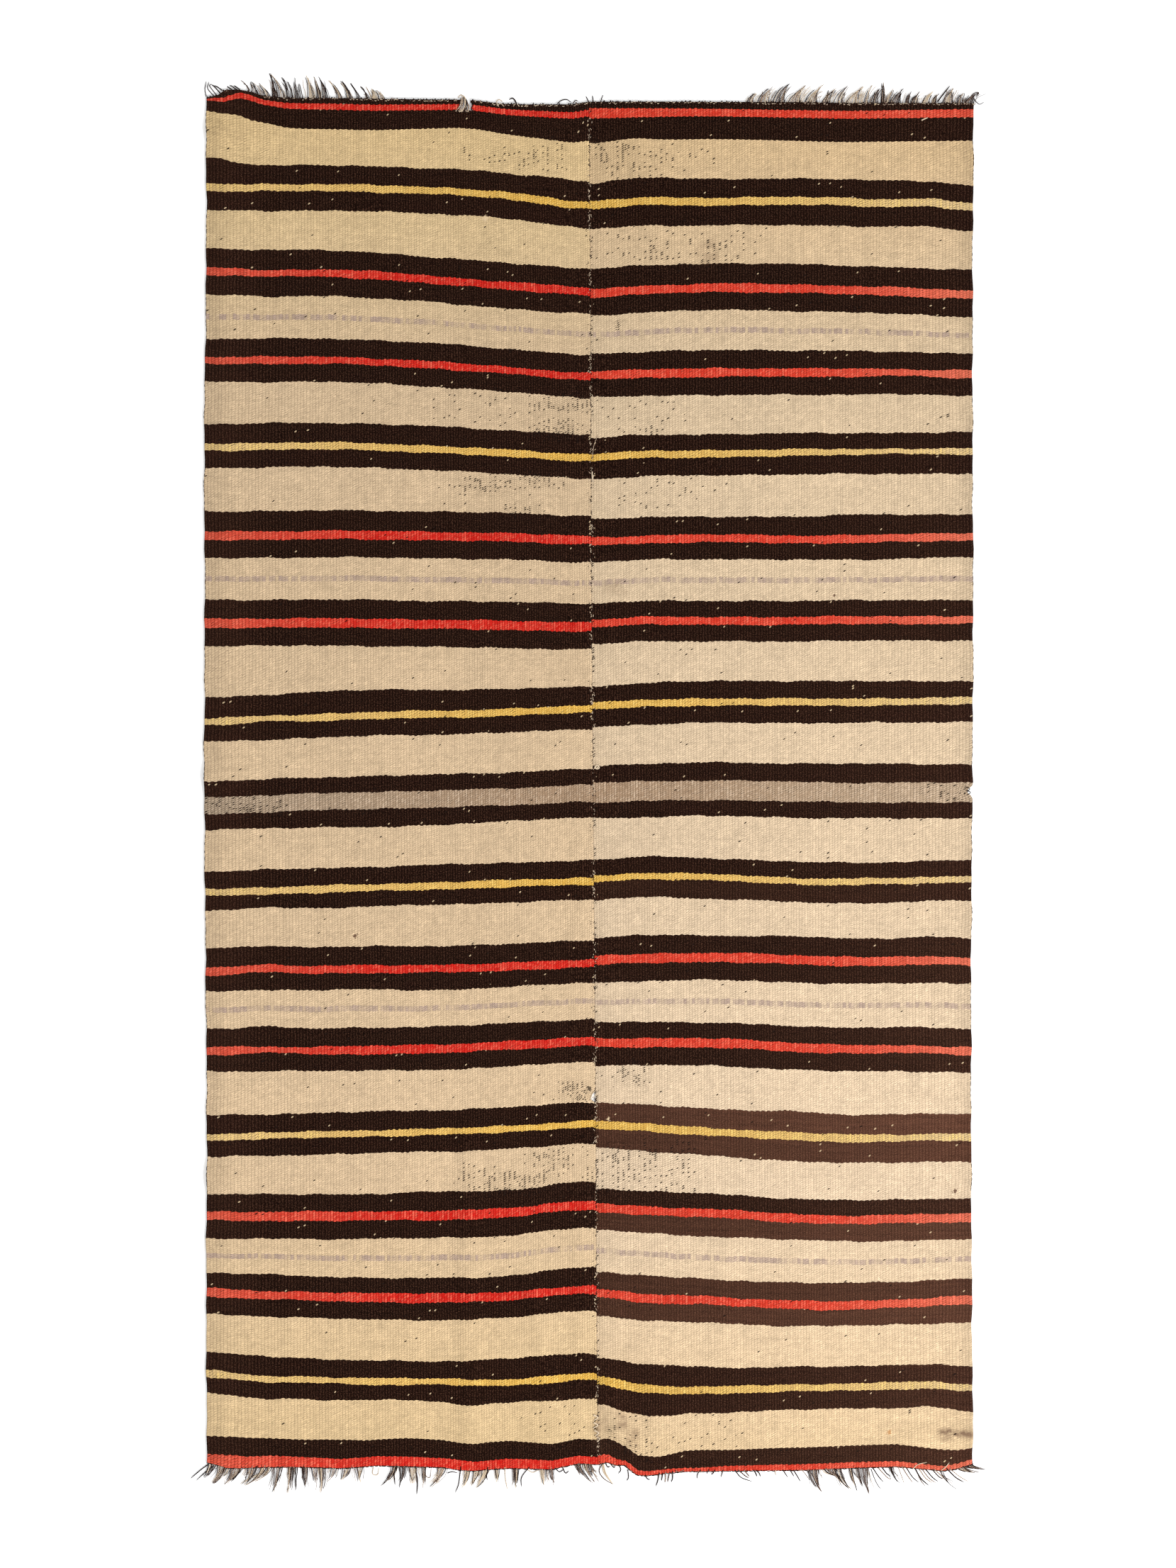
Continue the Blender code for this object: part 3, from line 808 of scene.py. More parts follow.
def clothMaterial(name, look):
    # A point's pick plus the bulge of its float's edge says which stripe it is in, so the stripes' edges step
    # from rib to rib. The stripe's number, modulo 4, says dark (0 and 2), accent (1) or cream (3).
    material, tree, shader, place = newMaterial(name, look["roughness"])
    weave = placed(tree, "UVMap", {}, uv_map="weave")
    given = {"Slant": look["slant"], "Wander": look["wander"], "EndDip": look["endDip"]}
    floats = applied(tree, groups["floats"], Place=weave, **given)
    fuzz = applied(tree, groups["fuzz"], Place=place, Strength=look["fuzz"])
    ribs, picks, _ = partsOf(weave)
    pick = picks + floats["Scallop"]
    later = calc("GREATER_THAN", pick, attribute(tree, "stripeEnd"))
    sooner = calc("LESS_THAN", pick, attribute(tree, "stripeStart"))
    kind = calc("MODULO", attribute(tree, "stripeNumber") + later - sooner, 4.0)
    isCream = calc("GREATER_THAN", kind, 2.5)
    isAccent = calc("COMPARE", kind, 1.0, 0.5)
    isDark = 1.0 - isCream - isAccent
    colour = blended(isCream, attribute(tree, "darkDye", "Color"), attribute(tree, "creamDye", "Color"))
    colour = blended(isAccent, colour, attribute(tree, "accentDye", "Color"))
    inLine = calc("LESS_THAN", abs(pick - attribute(tree, "greyLineAt")), look["greyLineHalf"])
    inLine = inLine * ranged(floats["RibTone"], 0.1, 0.7, 0.0, 0.8)
    colour = blended(inLine, colour, rgba(dyes["greyLine"]))

    # Uneven spinning: each float, each rib and each few picks have their own tone; painted shade then darkens
    # the grooves between the ribs and the slits at the floats' ends
    streak = noise(vectorOf(ribs * look["streakRibs"], picks), look["streakScale"])
    streak = ranged(streak, 0.3, 0.7, -1.0, 1.0)
    tone = (floats["Tone"] - 0.5) * look["toneSpread"] + 1.0
    tone = tone * ((floats["RibTone"] - 0.5) * look["ribSpread"] + 1.0)
    tone = tone * (streak * switched(isDark, look["streak"], look["darkStreak"]) + 1.0)
    tone = tone * fuzz["Shade"]
    # painted shade in the grooves between the ribs, deeper in the accents
    grooveShade = switched(isAccent, look["grooveShade"], look["accentGrooveShade"])
    tone = tone * ranged(floats["Round"], 0.1, 0.92, grooveShade, 1.0, "SMOOTHSTEP")
    # painted shade in the slits at the floats' ends, deeper along slanting runs and in the accents
    slitShade = floats["Slit"] * ranged(floats["Run"], 0.42, 0.62, look["slitShade"], look["deepSlitShade"])
    slitShade = slitShade * ranged(floats["Tone"], 0.0, 1.0, 0.1, 1.7)
    slitShade = slitShade * switched(isAccent, 1.0, look["accentSlitShade"])
    tone = tone * (1.0 - slitShade)
    grain = noise(place, look["grainScale"])
    tone = tone * ranged(grain, 0.3, 0.7, 1 - look["grain"], 1 + look["grain"])
    colour = blended(1.0, colour, vectorOf(tone, tone, tone), "MULTIPLY")

    # Painted highlights: the accents' crests paler and the dark wool's crests browner, uneven by float, rib
    # and noise; the dark wool also carries a few pale kemps
    crest = ranged(floats["Round"], 0.5, 0.95, 0.0, 1.0)
    crestHighlight = crest * ranged(floats["Tone"], 0.0, 1.0, 0.1, 1.0)
    crestHighlight = crestHighlight * ranged(floats["RibTone"], 0.2, 0.9, 0.35, 1.0)
    crestHighlight = crestHighlight * isAccent * look["accentHighlight"]
    colour = blended(crestHighlight, colour, attribute(tree, "crestHighlightDye", "Color"))
    darkHighlightShare = crest * ranged(noise(place, look["darkGrainScale"]), 0.45, 0.68, 0.0, look["darkHighlight"])
    colour = blended(darkHighlightShare * isDark, colour, attribute(tree, "darkCrestHighlight", "Color"))
    kemp = calc("GREATER_THAN", floats["GapTone"], look["kempFrom"] - attribute(tree, "specks"))
    kemp = kemp * isDark * ranged(floats["Gap"], 0.6, 1.0, 0.0, look["kemp"])
    colour = blended(kemp, colour, rgba(dyes["cream"]))

    # Wear: grey worn places, with painted fold shade beside the seam's foot and at the bottom right corner;
    # holes and slits between the floats, and a few spots
    patchy = ranged(noise(place, look["patchScale"], 3.0), 0.4, 0.6, 0.3, 1.3)
    smudgeAndShadeShare = attribute(tree, "smudgeAndShade") * patchy * switched(isDark, 1.0, look["darkSmudgeAndShade"])
    colour = blended(smudgeAndShadeShare * look["smudgeAndShade"], colour, rgba(dyes["smudgeAndShade"]))
    worn = attribute(tree, "worn")
    missing = calc("LESS_THAN", floats["GapTone"], worn * patchy + look["wornEverywhere"])
    spotSize = ranged(floats["Tone"], 0.0, 1.0, -0.2, 0.6) + ranged(grain, 0.3, 0.7, -0.2, 0.5)
    pinhole = missing * ranged(floats["Gap"], spotSize, 1.0, 0.0, 1.0)
    pinhole = calc("MAXIMUM", pinhole, floats["Slit"] * worn * look["slit"])
    colour = blended(pinhole * look["pinhole"], colour, rgba(dyes["hole"]))
    level = placed(tree, "VectorMath", {0: place, 1: (1, 1, 0)}, operation="MULTIPLY")
    ragged = ranged(grain, 0.3, 0.7, 0.55, 1.5)
    for x, y, radius, dye in spots:
        away = placed(tree, "VectorMath", {0: level, 1: (x * mm, y * mm, 0)}, "Value", operation="DISTANCE")
        mark = ranged(away * ragged, radius * mm * 1.3, radius * mm * 0.7, 0.0, look["spot"])
        colour = blended(mark, colour, rgba(dyes[dye]))
    join(colour, shader.inputs["Base Color"])
    height = fuzz["Height"] * look["fuzzHeight"] + floats["Height"] - pinhole * look["holeDepth"]
    bumped(shader, height, look)
    return material


def yarnMaterial(name, look):
    # Two-ply yarn: the strand's tone picks the first ply's colour from dark to cream, and the second ply is a
    # step further along.
    material, tree, shader, place = newMaterial(name, look["roughness"])
    strand = placed(tree, "UVMap", {}, uv_map="strand")
    ply = applied(tree, groups["ply"], Place=strand, TurnsPerMm=look["turnsPerMm"])
    fuzz = applied(tree, groups["fuzz"], Place=place, Strength=look["fuzz"])
    ramp = tree.nodes.new("ShaderNodeValToRGB")
    join(ply["Ply"] * look["plyContrast"] + attribute(tree, "tone"), ramp.inputs[0])
    stops = ramp.color_ramp.elements
    for number, (position, colour) in enumerate(look["colours"]):
        stop = stops[number] if number < len(stops) else stops.new(position)
        stop.position = position
        stop.color = rgba(colour)
    # painted shade in the groove between the two plies
    shade = fuzz["Shade"] * ranged(ply["Height"], 0.0, 0.6, look["plyShade"], 1.0)
    colour = blended(1.0, Value(ramp.outputs[0]), vectorOf(shade, shade, shade), "MULTIPLY")
    join(colour, shader.inputs["Base Color"])
    bumped(shader, ply["Height"], look)
    return material


groups = {"floats": weftFloats(floatShape), "ply": yarnPly(), "fuzz": woolFuzz()}

clothLook = {
    "slant": 0.7,
    "wander": 1.3,
    "endDip": 0.7,
    "fuzz": 0.35,
    "toneSpread": 0.18,
    "ribSpread": 0.1,
    "streak": 0.05,
    "darkStreak": 0.22,
    "streakRibs": 0.05,
    "streakScale": 0.8,
    "grooveShade": 0.66,
    "accentGrooveShade": 0.55,
    "slitShade": 0.15,
    "deepSlitShade": 0.48,
    "accentSlitShade": 2.6,
    "accentHighlight": 0.75,
    "darkHighlight": 0.9,
    "grainScale": 520.0,
    "grain": 0.13,
    "darkGrainScale": 620.0,
    "kemp": 0.7,
    "kempFrom": 1.442,
    "smudgeAndShade": 0.7,
    "darkSmudgeAndShade": 0.15,  # how much of it the dark stripes take
    "wornEverywhere": 0.007,
    "patchScale": 70.0,
    "pinhole": 0.9,
    "slit": 0.5,
    "spot": 0.85,
    "greyLineHalf": 1.25,
    "fuzzHeight": 0.35,
    "holeDepth": 0.8,
    "bump": 0.55,
    "bumpDepth": 0.6,
    "roughness": 0.9,
}

warpLook = {
    "turnsPerMm": 0.28,
    "fuzz": 0.5,
    "plyContrast": 0.22,
    "plyShade": 0.6,
    "bump": 0.6,
    "bumpDepth": 0.3,
    "roughness": 0.88,
    "colours": [
        (0.0, (34, 22, 20)),
        (0.4, (60, 44, 38)),
        (0.6, (128, 106, 96)),
        (0.8, (180, 154, 134)),
        (1.0, (236, 214, 184)),
    ],
}

sewingLook = dict(warpLook, turnsPerMm=0.4, plyContrast=0.1)

materials = {
    "left": clothMaterial("left_wool", clothLook),
    "right": clothMaterial("right_wool", clothLook),
    "warp": yarnMaterial("warp_ends", warpLook),
    "sewing": yarnMaterial("sewing_thread", sewingLook),
}
print("materials built")


# The two woven panels

def stripeLines(chart, nominal, seed):
    # y of the 67 lines between stripes at each column, top line first. The lines inside the groups wander a
    # little, and a bend adds rise*exp(-((x-x0)/w)^2).
    endTop = along(ends, 1, nominal)
    endBottom = along(ends, 2, nominal)
    top = np.array(chart["top"], float)
    bottom = np.array(chart["bottom"], float)
    lines = [endTop]
    lines += [endTop - eased(top[:, 0], top[:, column], nominal) for column in (1, 2, 3)]
    for _, *widths, heights in chart["groups"]:
        above, accent, below, middle = (
            eased(chart["places"], np.broadcast_to(width, len(chart["places"])), nominal)
            for width in (*widths, heights)
        )
        half = accent / 2
        lines += [middle + half + above, middle + half, middle - half, middle - half - below]
    lines += [endBottom + eased(bottom[:, 0], bottom[:, column], nominal) for column in (1, 2)]
    lines.append(endBottom)
    for number in range(4, stripeCount - 2):
        lines[number] = lines[number] + waves(nominal, *cloth["lineWander"], seed + number)
    for first, last, x, halfWidth, rise in chart["bends"]:
        for number in range(first, last + 1):
            lines[number] = lines[number] + rise * np.exp(-(((nominal - x) / halfWidth) ** 2))
    return np.array(lines)


def panelRows(lines):
    # Rows of the grid: each stripe is split evenly, into about one row to a row spacing. Gives y of every
    # grid point and, for every row, its place counted in stripes.
    ys = []
    stripes = []
    for number in range(len(lines) - 1):
        width = np.mean(lines[number] - lines[number + 1])
        steps = cloth["rowsInStripe"].get(number, max(1, round(width / cloth["rowSpacing"])))
        for step in range(steps):
            share = step / steps
            ys.append(lines[number] * (1 - share) + lines[number + 1] * share)
            stripes.append(number + share)
    ys.append(lines[-1])
    stripes.append(len(lines) - 1.0)
    return np.array(ys), np.array(stripes)


patchEnd = 1.45
patchFade = 0.6


def patches(rows, x, y):
    # Soft-edged rectangles: nothing past 1.45 of their half size, and full strength 0.6 further in.
    total = np.zeros_like(x)
    for px, py, halfWidth, halfHeight, strength in rows:
        away = np.maximum(np.abs(x - px) / halfWidth, np.abs(y - py) / halfHeight)
        total = np.maximum(total, strength * np.clip((patchEnd - away) / patchFade, 0, 1))
    return total


ageingAndLight = {
    "reach": 540,  # from the seam to where a panel's wear is full
    "top": 1000,
    "length": 2000,
    # painted shade along the outer selvedges, darker outwards
    "edgeTurnShade": (0.965, 0.13),  # from this share outwards the selvedge turns down, and is darker by so much
    "darkEdge": (0.85, 0.02, 0.1),  # left panel's dark: from this share on, pale before it, paler at the edge
    # painted light: the right panel's dark is paler towards its lower right
    "lowerRightLight": (0.05, 0.33, 0.09),  # right panel's dark: outwards, outwards and down, down
    "paleFrom": (0.6, 0.45),  # a pale stripe at the seam, and how much more at the selvedge
    "crestPale": 1.2,
    "creamDulled": (0.06, 6, 0.88),  # how much, near the seam and past this share outwards
    "accentDulled": 0.14,
}


def pastShare(outward, start):
    # 0 up to this share of the way outwards, then rising to 1 at the selvedge.
    return np.clip((outward - start) / (1 - start), 0, 1)


def dyeFields(chart, isRight, x, y, stripes):
    # Dye of the dark, the cream and the accent wool at every grid point, with painted light and shade in it.
    # The accents are older towards the selvedges, and some stripes of the right panel are a paler brown.
    # Painted light makes the right panel's dark paler towards the lower right, the crests get painted
    # highlight colours, and painted shade darkens every colour along the outer selvedges.
    outward = np.clip(np.abs(x - cloth["seamX"]) / ageingAndLight["reach"], 0, 1)
    down = np.clip((ageingAndLight["top"] - y) / ageingAndLight["length"], 0, 1)
    rolledFrom, rolledShade = ageingAndLight["edgeTurnShade"]
    # painted shade: every colour darker towards the selvedge
    edgeTurnShade = 1 - rolledShade * pastShare(outward, rolledFrom)
    edgeFrom, paleAll, paleEdge = ageingAndLight["darkEdge"]
    share = paleAll + paleEdge * pastShare(outward, edgeFrom)
    if isRight:
        pale = np.array([dyes["paleStripes"].get(number, 0.0) for number in range(stripeCount)])
        nearest = np.clip(np.round((stripes - 0.5) / 2).astype(int) * 2, 0, stripeCount - 2)
        # painted light: the right panel's dark is paler outwards and down, towards its lower right
        byEdge, byCorner, byFoot = ageingAndLight["lowerRightLight"]
        lowerRightLight = outward**2 * (byEdge + byCorner * down**2) + byFoot * down**2
        atSeam, more = ageingAndLight["paleFrom"]
        share = np.maximum(pale[nearest][:, None] * (atSeam + more * outward), lowerRightLight)
    share = share[..., None]
    dark = linear(dyes["dark"]) * (1 - share) + linear(dyes["paleDark"]) * share
    darkCrestHighlight = linear(dyes["darkCrestHighlight"]) * (1 + ageingAndLight["crestPale"] * share)

    creamAt = np.array([row[0] for row in dyes["creamDown"]], float)
    creamRows = linear([row[2 if isRight else 1] for row in dyes["creamDown"]])
    tint = np.stack([np.interp(-y, -creamAt, creamRows[:, part]) for part in range(3)], -1)
    unevenness = waves(x, 0.015, (310, 190), 11) + waves(y, 0.02, (150, 70, 410), 12)
    dullShare, seamNearness, dullFrom = ageingAndLight["creamDulled"]
    dulled = np.exp(-((outward * seamNearness) ** 2)) + pastShare(outward, dullFrom)
    cream = tint * (1 + unevenness - isRight * dullShare * dulled)[..., None]

    names = ["red"] + [row[0] for row in chart["groups"]] + ["red"]
    group = np.clip(np.round((stripes - 1.5) / 4).astype(int), 0, len(names) - 1)
    tables = ("right", "oldRight", "crestHighlight") if isRight else ("left", "oldLeft", "crestHighlight")
    fresh, old, crestHighlight = (linear([dyes[table][name] for name in names])[group][:, None] for table in tables)
    isRed = (np.array(names) == "red")[group][:, None]
    age = np.where(isRed, pastShare(outward, 0.5) ** 1.6, outward**1.4)
    age = (age * np.clip(down * 12, 0.2, 1))[..., None]
    dulled = isRight * ageingAndLight["accentDulled"] * down**2
    accent = (fresh * (1 - age) + old * age) * (1 - dulled)[..., None]
    found = {
        "darkDye": dark,
        "darkCrestHighlight": darkCrestHighlight,
        "creamDye": cream,
        "accentDye": accent,
        "crestHighlightDye": crestHighlight * np.ones_like(accent),
    }
    return {key: (value * edgeTurnShade[..., None]).reshape(-1, 3) for key, value in found.items()}


notch = {
    # the worn gap in the top end: y of its floor and of its mouth, and x of its two sides there
    "y": (962, 979),
    "left": (-187, -178),
    "right": (-165, -168),
}

edgeBites = [
    # side of the blanket, y of the point, half height, depth, how far in the cloth is drawn
    ("seam", -448, 7, 11, 24),
    ("right", -10, 9, 10, 26),
]


def ribColumns(panel, seed):
    # The grooves and crests counted from the seam: the pitch's inverse is summed outwards and read at every
    # half rib, as shares of the panel's width, and each groove is moved a little at random.
    chance = np.random.default_rng(seed)
    places, pitches = np.array(cloth["ribPitch"][panel], float).T
    fine = np.linspace(0, places[-1], 2000)
    counted = np.concatenate([[0], np.cumsum(np.diff(fine) / np.interp(fine[1:], places, pitches))])
    total = round(counted[-1])
    ribs = np.arange(2 * total + 1) / 2
    grooves = np.interp(ribs[::2], counted * total / counted[-1], fine)
    grooves[1:-1] += chance.uniform(-1, 1, total - 1) * cloth["ribUneven"] * pitches[0] / 2
    columns = np.empty(2 * total + 1)
    columns[::2] = grooves
    columns[1::2] = (grooves[:-1] + grooves[1:]) / 2
    return ribs, columns / places[-1]


def edgeWander(y, side, seed):
    # How far the outer selvedge strays from its plan.
    return side * waves(y, *cloth["edgeWander"], seed + 90)


def sheetFaces(kept):
    # The faces of a closed sheet over a grid of cells: each kept cell above and below, and a wall wherever a
    # kept cell meets an empty one. Also gives the row of the cell that each face belongs to.
    rows, columns = kept.shape[0] + 1, kept.shape[1] + 1
    half = rows * columns
    index = np.arange(half).reshape(rows, columns)
    a, b, c, d = index[:-1, :-1], index[1:, :-1], index[1:, 1:], index[:-1, 1:]
    faces = [np.stack([a, b, c, d], -1)[kept], np.stack([d, c, b, a], -1)[kept] + half]
    faceRows = [np.nonzero(kept)[0]] * 2
    padded = np.pad(kept, 1).astype(int)
    overRow = padded[:-1, 1:-1] - padded[1:, 1:-1]  # 1 with the kept cell above the wall, -1 below it
    overColumn = padded[1:-1, :-1] - padded[1:-1, 1:]  # 1 with the kept cell left of the wall, -1 right of it
    for over, upright in ((overRow, False), (overColumn, True)):
        for sign in (1, -1):
            row, column = np.nonzero(over == sign)
            start = index[row, column]
            stop = index[row + upright, column + (not upright)]
            if upright:
                start, stop = stop, start
            wall = np.stack([start, start + half, stop + half, stop], -1)
            faces.append(wall if sign > 0 else wall[:, ::-1])
            faceRows.append(row - 1 if sign > 0 and not upright else row)
    return np.concatenate(faces), np.concatenate(faceRows)


def wovenPanel(name, node, chart, side, material, seed):
    # A closed sheet: the top grid with its ribs, the same grid as underside, and walls round every rim.
    # Columns stand at each rib's crest and at each groove.
    ribs, share = ribColumns("left" if side < 0 else "right", seed)
    outer = cloth["outerLeft"] if side < 0 else cloth["outerRight"]
    width = abs(outer - cloth["seamX"])
    nominal = cloth["seamX"] + share * (outer - cloth["seamX"])
    if side < 0:
        nominal = nominal[::-1]
        share = share[::-1]
        ribs = -ribs[::-1]
    lines = stripeLines(chart, nominal, seed)
    y, stripes = panelRows(lines)
    nominalGrid = np.broadcast_to(nominal, y.shape)
    x = across(nominalGrid, y) + side * cloth["seamGap"] / 2
    x = x + edgeWander(y, side, seed) * share**8
    for where, pointY, halfHeight, depth, drawn in edgeBites:
        if (where == "seam") != (side < 0):
            continue
        fromRim = (share if side < 0 else 1 - share) * width
        bite = depth * np.clip(1 - np.abs(y - pointY) / halfHeight, 0, 1)
        x = x - bite * np.clip(1 - fromRim / drawn, 0, 1)
    kept = np.ones((y.shape[0] - 1, y.shape[1] - 1), bool)
    if side < 0:
        faceX, faceY = ((grid[:-1, :-1] + grid[1:, 1:]) / 2 for grid in (x, y))
        fromLeft = faceX > np.interp(faceY, notch["y"], notch["left"])
        fromRight = faceX < np.interp(faceY, notch["y"], notch["right"])
        kept[fromLeft & fromRight & (faceY > notch["y"][0])] = False

    under = lift(x, y, nominalGrid)
    crest = (np.arange(len(nominal)) % 2 == 1).astype(float) - 0.5
    top = clothTop(x, y, nominalGrid) + cloth["ribHeight"] * crest
    bottom = np.maximum(under + puckers(x, y, nominalGrid) * (under > cloth["liftedFrom"]), 0.0)
    points = np.concatenate([np.stack([x, y, z], -1).reshape(-1, 3) for z in (top, bottom)])
    faces, faceRows = sheetFaces(kept)

    picks = (np.mean(y[0]) - np.mean(y, axis=1)) / cloth["pickPitch"]
    uv = np.stack(np.broadcast_arrays(ribs[None], picks[:, None]), -1).reshape(-1, 2)
    mesh = meshFrom(name, points, faces.tolist(), material, "weave", np.tile(uv, (2, 1)))
    mesh.set_sharp_from_angle(angle=cloth["sharpFrom"])
    addValues(mesh, "FACE", stripeValues(picks, stripes, faceRows))
    marks = {"worn": wornPatches, "smudgeAndShade": smudgeAndShadePatches, "specks": speckPatches}
    fields = {key: patches(rows, x, y).ravel() for key, rows in marks.items()}
    besideSeam = (share * cloth["panelWidth"] < cloth["seamWornWidth"]) * np.ones_like(y)
    fields["worn"] = np.maximum(fields["worn"], cloth["seamWorn"] * besideSeam.ravel())
    fields["specks"] = np.maximum(fields["specks"], cloth["seamSpecks"] * besideSeam.ravel())
    fields.update(dyeFields(chart, side > 0, x, y, stripes))
    addValues(mesh, "POINT", {key: np.concatenate([value, value]) for key, value in fields.items()})
    piece = pieceOf(name, mesh)
    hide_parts(node)
    print(name, len(faces) * 2, "triangles")
    return piece


farAway = -100.0  # a pick that no cloth reaches


def stripeValues(picks, stripes, faceRows):
    # By face: the number of its stripe, the picks where that stripe starts and ends, and the pick of the grey
    # line in the middle of a lined cream. The first and the last stripe reach well past the ends.
    starts = np.flatnonzero(stripes == np.round(stripes))
    edges = picks[starts]
    edges[0] -= 10
    edges[-1] += 10
    numbers = stripes[faceRows].astype(int)
    middles = (edges[numbers] + edges[numbers + 1]) / 2
    lineAt = np.where(np.isin(numbers, dyes["linedCreams"]), middles, farAway)
    return {
        "stripeNumber": numbers.astype(float),
        "stripeStart": edges[numbers],
        "stripeEnd": edges[numbers + 1],
        "greyLineAt": lineAt,
    }


leftPanel = wovenPanel("woven_panel_left", "panel_left", leftChart, -1, materials["left"], 100)
rightPanel = wovenPanel("woven_panel_right", "panel_right", rightChart, 1, materials["right"], 200)


# The warp ends: locks and single strands as in the photo, knots at the cut end and pale beads inside it

fringe = {
    "strandRadius": 0.6,
    "strandsShare": 1.35,  # how many more strands than the table says
    "tipsApart": 0.42,  # how far apart the tips of a lock stay
    "toneSpread": 0.3,
    "wispsPerStrand": 1.2,
    "wispRadius": 0.65,
    "paler": 0.1,
    "wobble": 1.0,
    "tuck": 3,  # how far inside the end a lock starts
    "heights": ((1.9, 2.5), (1.0, 2.8), (0.9, 1.3)),  # at the root, half way and at the tip
    "knotPitch": 3.9,
    "knotLength": (-0.8, 2.0),
    "knotRadius": (0.7, 1.25),
    "bottomKnotPitch": 2.6,
    "bottomKnotHalf": (0.8, 2.4),
    "beadChance": 0.65,
    "beadsFrom": -466,
    "beadRadius": (0.3, 0.5),
    "sides": 6,
    "steps": 12,
}

locks = {
    # root x from and to, x and y of the tip, strands, tone of the inner strands (0 dark, 1 pale)
    "fringe_top_left": [
        (-484, -468, -484, 1005, 3, 0.3),
        (-465, -453, -472, 1003, 3, 0.5),
        (-452, -447, -455, 1017, 3, 0.2),
        (-446, -432, -454, 1016, 3, 0.5),
        (-430, -426, -437, 1011, 2, 0.35),
        (-425, -420, -430, 1005, 2, 0.35),
        (-419, -415, -421, 1011, 2, 0.2),
        (-414, -406, -415, 1002, 2, 0.2),
        (-402, -391, -402, 1014, 4, 0.85),
        (-389, -381, -393, 1012, 3, 0.3),
        (-380, -371, -385, 1012, 3, 0.3),
        (-360, -351, -372, 1007, 3, 0.6),
        (-345, -338, -355, 1006, 3, 0.5),
        (-331, -326, -340, 1003, 2, 0.4),
        (-318, -314, -326, 998, 2, 0.3),
        (-310, -302, -309, 995, 4, 0.95),
        (-301, -289, -302, 993, 4, 0.9),
    ],
    "fringe_top_right": [
        (226, 238, 241, 989, 4, 0.6),
        (240, 260, 264, 998, 6, 0.6),
        (262, 282, 288, 1002, 6, 0.55),
        (284, 306, 312, 1000, 6, 0.6),
        (308, 330, 338, 1001, 6, 0.55),
        (332, 347, 355, 995, 5, 0.5),
        (349, 365, 371, 999, 4, 0.7),
        (366, 389, 393, 998, 6, 0.7),
        (393, 402, 407, 1000, 3, 0.8),
        (403, 414, 417, 995, 4, 0.3),
        (418, 424, 422, 1004, 3, 0.15),
        (425, 432, 438, 995, 3, 0.5),
        (433, 448, 452, 995, 5, 0.35),
        (452, 459, 464, 991, 3, 0.4),
        (461, 471, 476, 991, 4, 0.5),
        (477, 489, 494, 992, 4, 0.85),
        (492, 498, 502, 988, 3, 0.6),
        (505, 524, 523, 996, 6, 0.6),
        (526, 536, 537, 989, 4, 0.3),
        (538, 552, 558, 989, 5, 0.35),
    ],
    "fringe_bottom_left": [
        (-544, -531, -549, -993, 4, 0.3),
        (-531, -515, -537, -1001, 6, 0.35),
        (-513, -492, -521, -1003, 6, 0.35),
        (-490, -471, -493, -1003, 6, 0.4),
        (-468, -459, -491, -1004, 4, 0.8),
        (-459, -451, -476, -998, 3, 0.7),
        (-450, -435, -451, -1014, 4, 0.4),
        (-429, -424, -430, -1015, 3, 0.4),
        (-424, -419, -425, -1011, 2, 0.4),
        (-419, -414, -419, -1011, 2, 0.2),
        (-410, -401, -405, -1008, 4, 0.3),
        (-397, -387, -389, -1000, 3, 0.5),
        (-386, -374, -382, -1014, 5, 0.4),
        (-369, -358, -373, -998, 3, 0.5),
        (-353, -337, -354, -996, 4, 0.45),
        (-336, -319, -326, -1000, 4, 0.5),
        (-283, -271, -297, -1004, 4, 0.5),
        (-267, -259, -267, -1000, 3, 0.4),
        (-258, -243, -251, -1002, 5, 0.85),
        (-240, -231, -236, -1008, 3, 0.4),
        (-217, -201, -226, -1007, 5, 0.55),
        (-177, -167, -180, -1008, 4, 0.8),
        (-165, -155, -167, -1005, 4, 0.8),
        (-154, -141, -161, -1007, 4, 0.8),
        (-134, -125, -131, -1000, 3, 0.6),
        (-107, -98, -104, -1009, 5, 0.35),
        (-70, -58, -62, -1004, 5, 0.5),
        (-56, -47, -49, -1003, 3, 0.4),
        (-18, -8, 7, -1000, 4, 0.35),
        (-8, 5, 9, -999, 5, 0.5),
    ],
    "fringe_bottom_right": [
        (313, 332, 335, -1014, 6, 0.5),
        (336, 353, 365, -994, 5, 0.5),
        (351, 363, 379, -1011, 4, 0.4),
        (373, 379, 387, -1012, 3, 0.4),
        (384, 402, 403, -1017, 6, 0.4),
        (431, 435, 446, -1001, 3, 0.15),
        (504, 508, 527, -1010, 2, 0.2),
        (527, 538, 556, -986, 5, 0.4),
        (538, 550, 569, -981, 6, 0.35),
    ],
}

